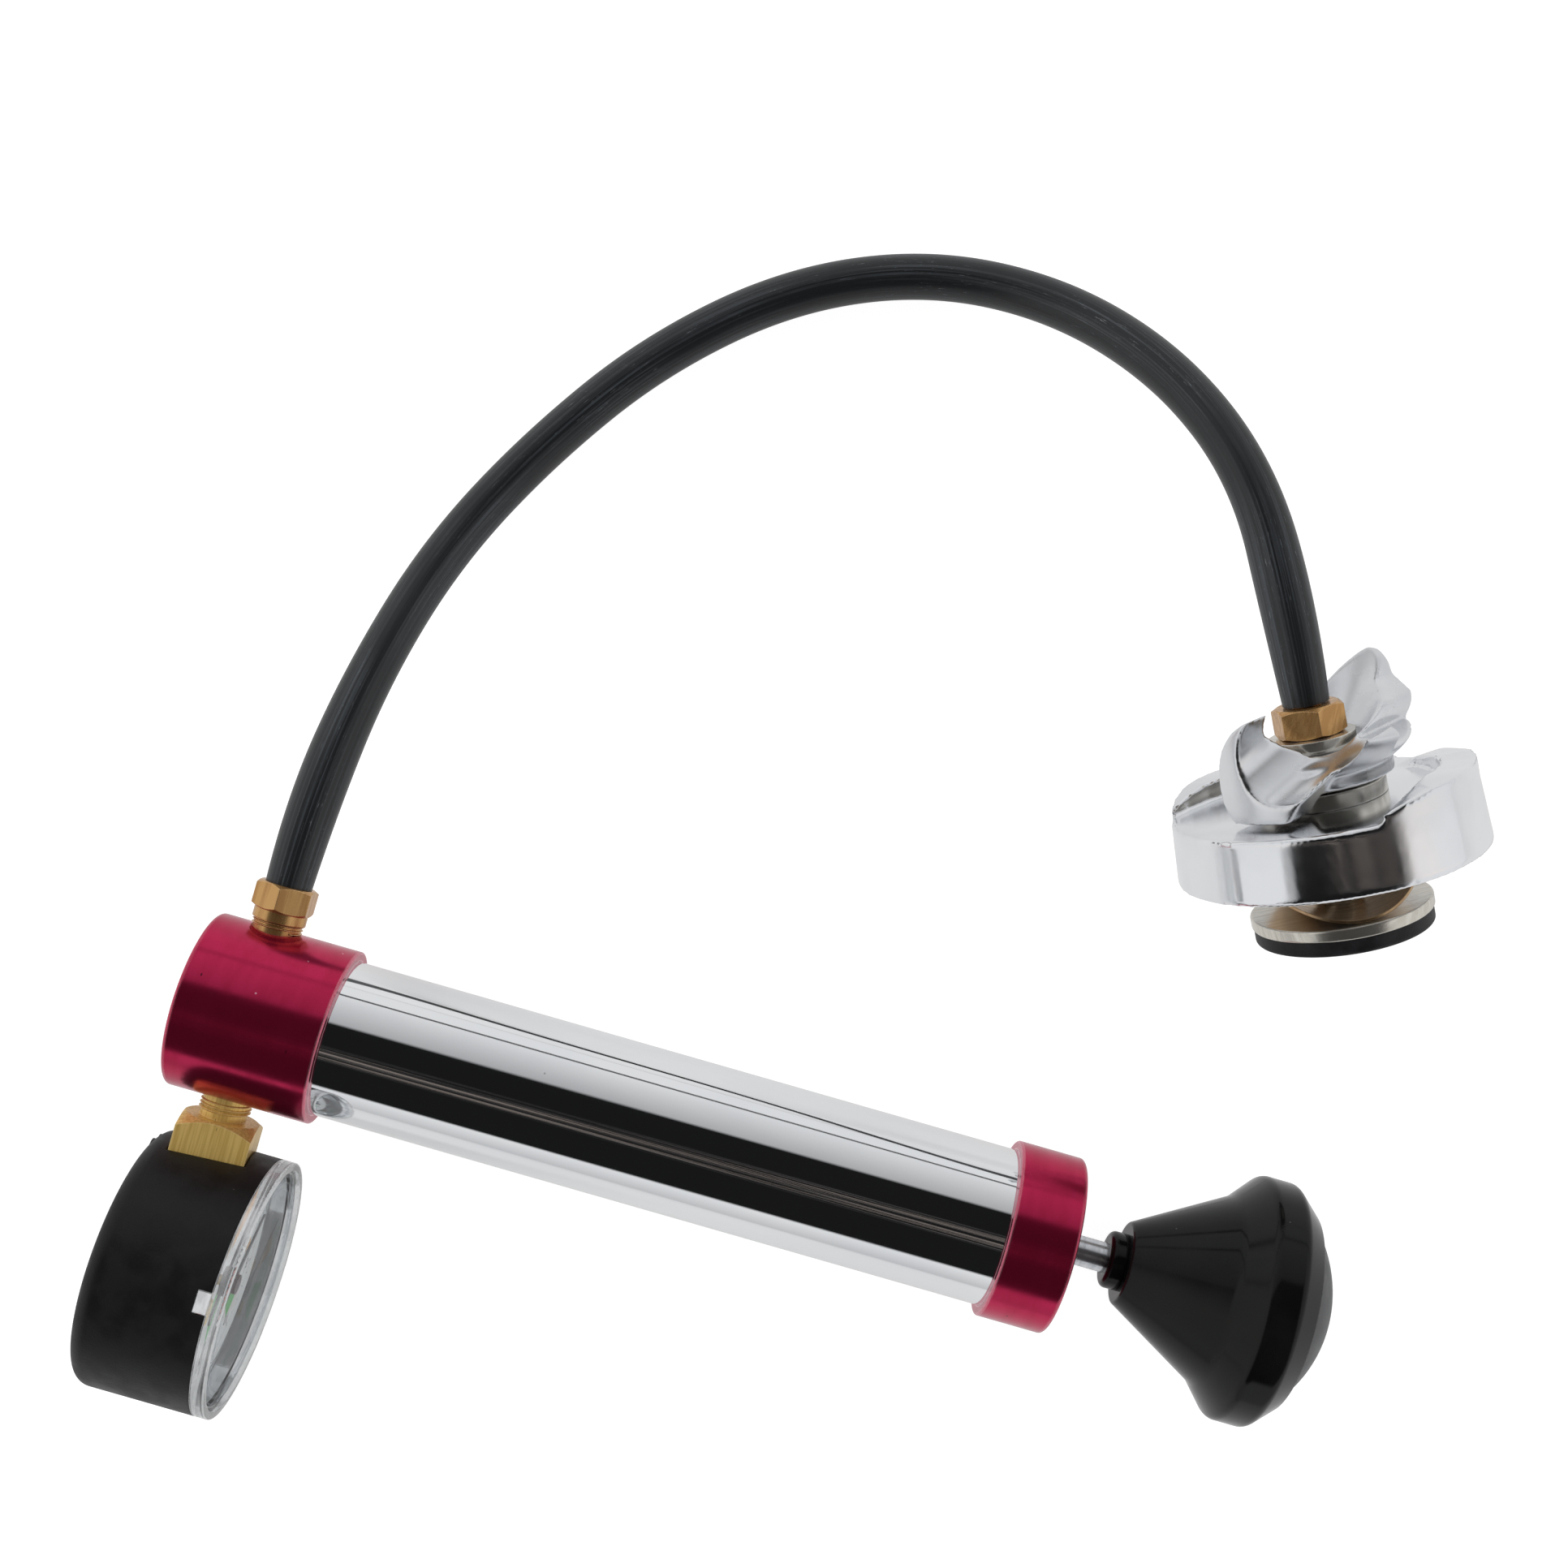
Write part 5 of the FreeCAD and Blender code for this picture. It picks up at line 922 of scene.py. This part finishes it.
# ---------------------------------------------------------------- stage
@dataclass
class Stage:
    """Bench, light and camera."""

    floor_size: float = 6.0
    floor_seen: float = 0.90
    floor_mirrored: float = 0.50
    floor_coat: Colour = (0.35, 0.35, 0.35)
    dark_level: float = 0.010
    bright_level: float = 0.80
    streak_level: float = 0.20
    seam_lean: float = 1.30
    seam_width: float = 0.022
    lamp_size: float = 0.8
    lamps: tuple[tuple[str, Triple, float], ...] = (("side_lamp_left", (-0.9, 0.5, 0.75), 9.0),
                                                    ("side_lamp_right", (0.9, -0.5, 0.75), 6.0))
    camera_place: Triple = (-0.01698, 0.04656, 0.4158)
    camera_turn: float = 0.279
    lens: float = 44.72
    sensor: float = 36.0
    near_clip: float = 0.01

    def build(self) -> None:
        """Make the floor, the world, the lamps and the camera."""
        self.make_floor()
        self.make_world()
        self.make_lamps()
        self.make_camera()

    def make_floor(self) -> None:
        """Pale bench top that keeps the shadow and reads white to the camera and in reflections."""
        mesh = bmesh.new()
        bmesh.ops.create_grid(mesh, x_segments=1, y_segments=1, size=self.floor_size / 2)
        data = bpy.data.meshes.new("bench_top")
        mesh.to_mesh(data)
        mesh.free()
        material = bpy.data.materials.new("bench_white")
        material.use_nodes = True
        graph = Graph(material.node_tree)
        path = graph.node("LightPath")
        mirrored = graph.maths("MAXIMUM", path.outputs["Is Glossy Ray"], path.outputs["Is Transmission Ray"])
        seen = graph.maths("MULTIPLY", path.outputs["Is Camera Ray"], self.floor_seen)
        level = graph.maths("ADD", seen, graph.maths("MULTIPLY", mirrored, self.floor_mirrored))
        white = graph.node("Emission", {"Color": (1.0, 1.0, 1.0), "Strength": level})
        paint_coat = graph.node("BsdfDiffuse", {"Color": self.floor_coat})
        both = graph.node("AddShader", {0: white.outputs[0], 1: paint_coat.outputs[0]})
        graph.node("OutputMaterial", {"Surface": both.outputs[0]})
        data.materials.append(material)
        floor = bpy.data.objects.new("bench_top", data)
        bpy.context.scene.collection.objects.link(floor)

    def make_world(self) -> None:
        """Pale tent with a dark opening overhead, so that bright metal shows its bands."""
        world = bpy.data.worlds.new("studio_tent")
        bpy.context.scene.world = world
        world.use_nodes = True
        graph = Graph(world.node_tree)
        ray = graph.node("TexCoord").outputs["Generated"]
        turned = graph.node("VectorRotate",
                            {"Vector": ray, "Angle": -self.camera_turn, "Axis": (0.0, 0.0, 1.0)},
                            rotation_type="AXIS_ANGLE").outputs[0]
        parts = graph.node("SeparateXYZ", {0: turned})
        # angles from overhead, towards the top and the side of the camera's view
        lean = graph.maths("ARCTAN2", parts.outputs["Y"], parts.outputs["Z"])
        side = graph.maths("ABSOLUTE", graph.maths("ARCSINE", parts.outputs["X"]))
        # the tent's bright walls above, below and beside the dark opening
        upper = graph.maths("MULTIPLY", graph.spread(lean, 0.50, 0.56),
                            graph.spread(lean, 0.56, 1.35, 0.55, 1.0))
        lower = graph.maths("MULTIPLY", graph.spread(lean, -1.12, -1.18),
                            graph.spread(lean, -1.18, -1.60, 1.0, 0.70))
        bright = graph.maths("MAXIMUM", upper, lower)
        bright = graph.maths("MAXIMUM", bright, graph.spread(side, 0.62, 0.80))
        # a thin dark seam in the upper wall
        seam = graph.maths("COMPARE", lean, self.seam_lean)
        seam.node.inputs[2].default_value = self.seam_width
        # faint warm streaks inside the opening
        across = graph.maths("MULTIPLY", parts.outputs["X"], 0.05)
        weave = graph.node("CombineXYZ", {0: lean, 1: across}).outputs[0]
        wires = graph.node("TexNoise", {"Vector": weave, "Scale": 55.0, "Detail": 2.0}).outputs[0]
        inside = graph.maths("MULTIPLY", graph.spread(lean, -0.42, -0.34), graph.spread(lean, -0.02, -0.10))
        streaks = graph.maths("MULTIPLY", graph.spread(wires, 0.52, 0.60), inside)
        level = graph.maths("ADD", graph.spread(bright, 0.0, 1.0, self.dark_level, self.bright_level),
                            graph.maths("MULTIPLY", streaks, self.streak_level))
        level = graph.maths("MULTIPLY", level, graph.spread(seam, 0.0, 1.0, 1.0, 0.15))
        tint = graph.blend(streaks, (0.98, 0.99, 1.0), (1.0, 0.84, 0.74))
        shade = graph.node("Background", {"Color": tint, "Strength": level})
        plain = graph.node("Background", {"Color": (1.0, 1.0, 1.0), "Strength": 1.0})
        camera_ray = graph.node("LightPath").outputs["Is Camera Ray"]
        seen = graph.node("MixShader", {0: camera_ray, 1: shade.outputs[0], 2: plain.outputs[0]})
        graph.node("OutputWorld", {"Surface": seen.outputs[0]})

    def make_lamps(self) -> None:
        """Two broad soft lamps low at the sides."""
        for name, place, power in self.lamps:
            lamp = bpy.data.lights.new(name, "AREA")
            lamp.shape = "SQUARE"
            lamp.size = self.lamp_size
            lamp.energy = power
            item = bpy.data.objects.new(name, lamp)
            item.location = place
            item.rotation_euler = (-Vector(place)).to_track_quat("-Z", "Y").to_euler()
            item.visible_glossy = False
            bpy.context.scene.collection.objects.link(item)

    def make_camera(self) -> None:
        """Camera straight overhead, turned about its line of sight."""
        data = bpy.data.cameras.new("overhead_camera")
        data.lens = self.lens
        data.sensor_width = self.sensor
        data.clip_start = self.near_clip
        camera = bpy.data.objects.new("overhead_camera", data)
        camera.location = self.camera_place
        camera.rotation_euler = (0.0, 0.0, self.camera_turn)
        bpy.context.scene.collection.objects.link(camera)
        bpy.context.scene.camera = camera


def write_sizes() -> None:
    """Define a helper that gives a box's corners as plain lists; no box is written or compared."""
    def plain(box: object) -> list:
        """Corners of a box as plain lists."""
        return [list(corner) for corner in box]


def main() -> None:
    """Build the finishes, the pieces and the stage."""
    logging.basicConfig(level=logging.INFO, format="%(name)s: %(message)s")
    scene = bpy.context.scene
    scene.view_settings.view_transform = "Standard"
    Stage().build()
    finishes = Finishes()
    for part in (Pump(), Gauge(), Adapter(), Hose()):
        part.build(finishes)
    write_sizes()


if __name__ == "__main__":
    main()
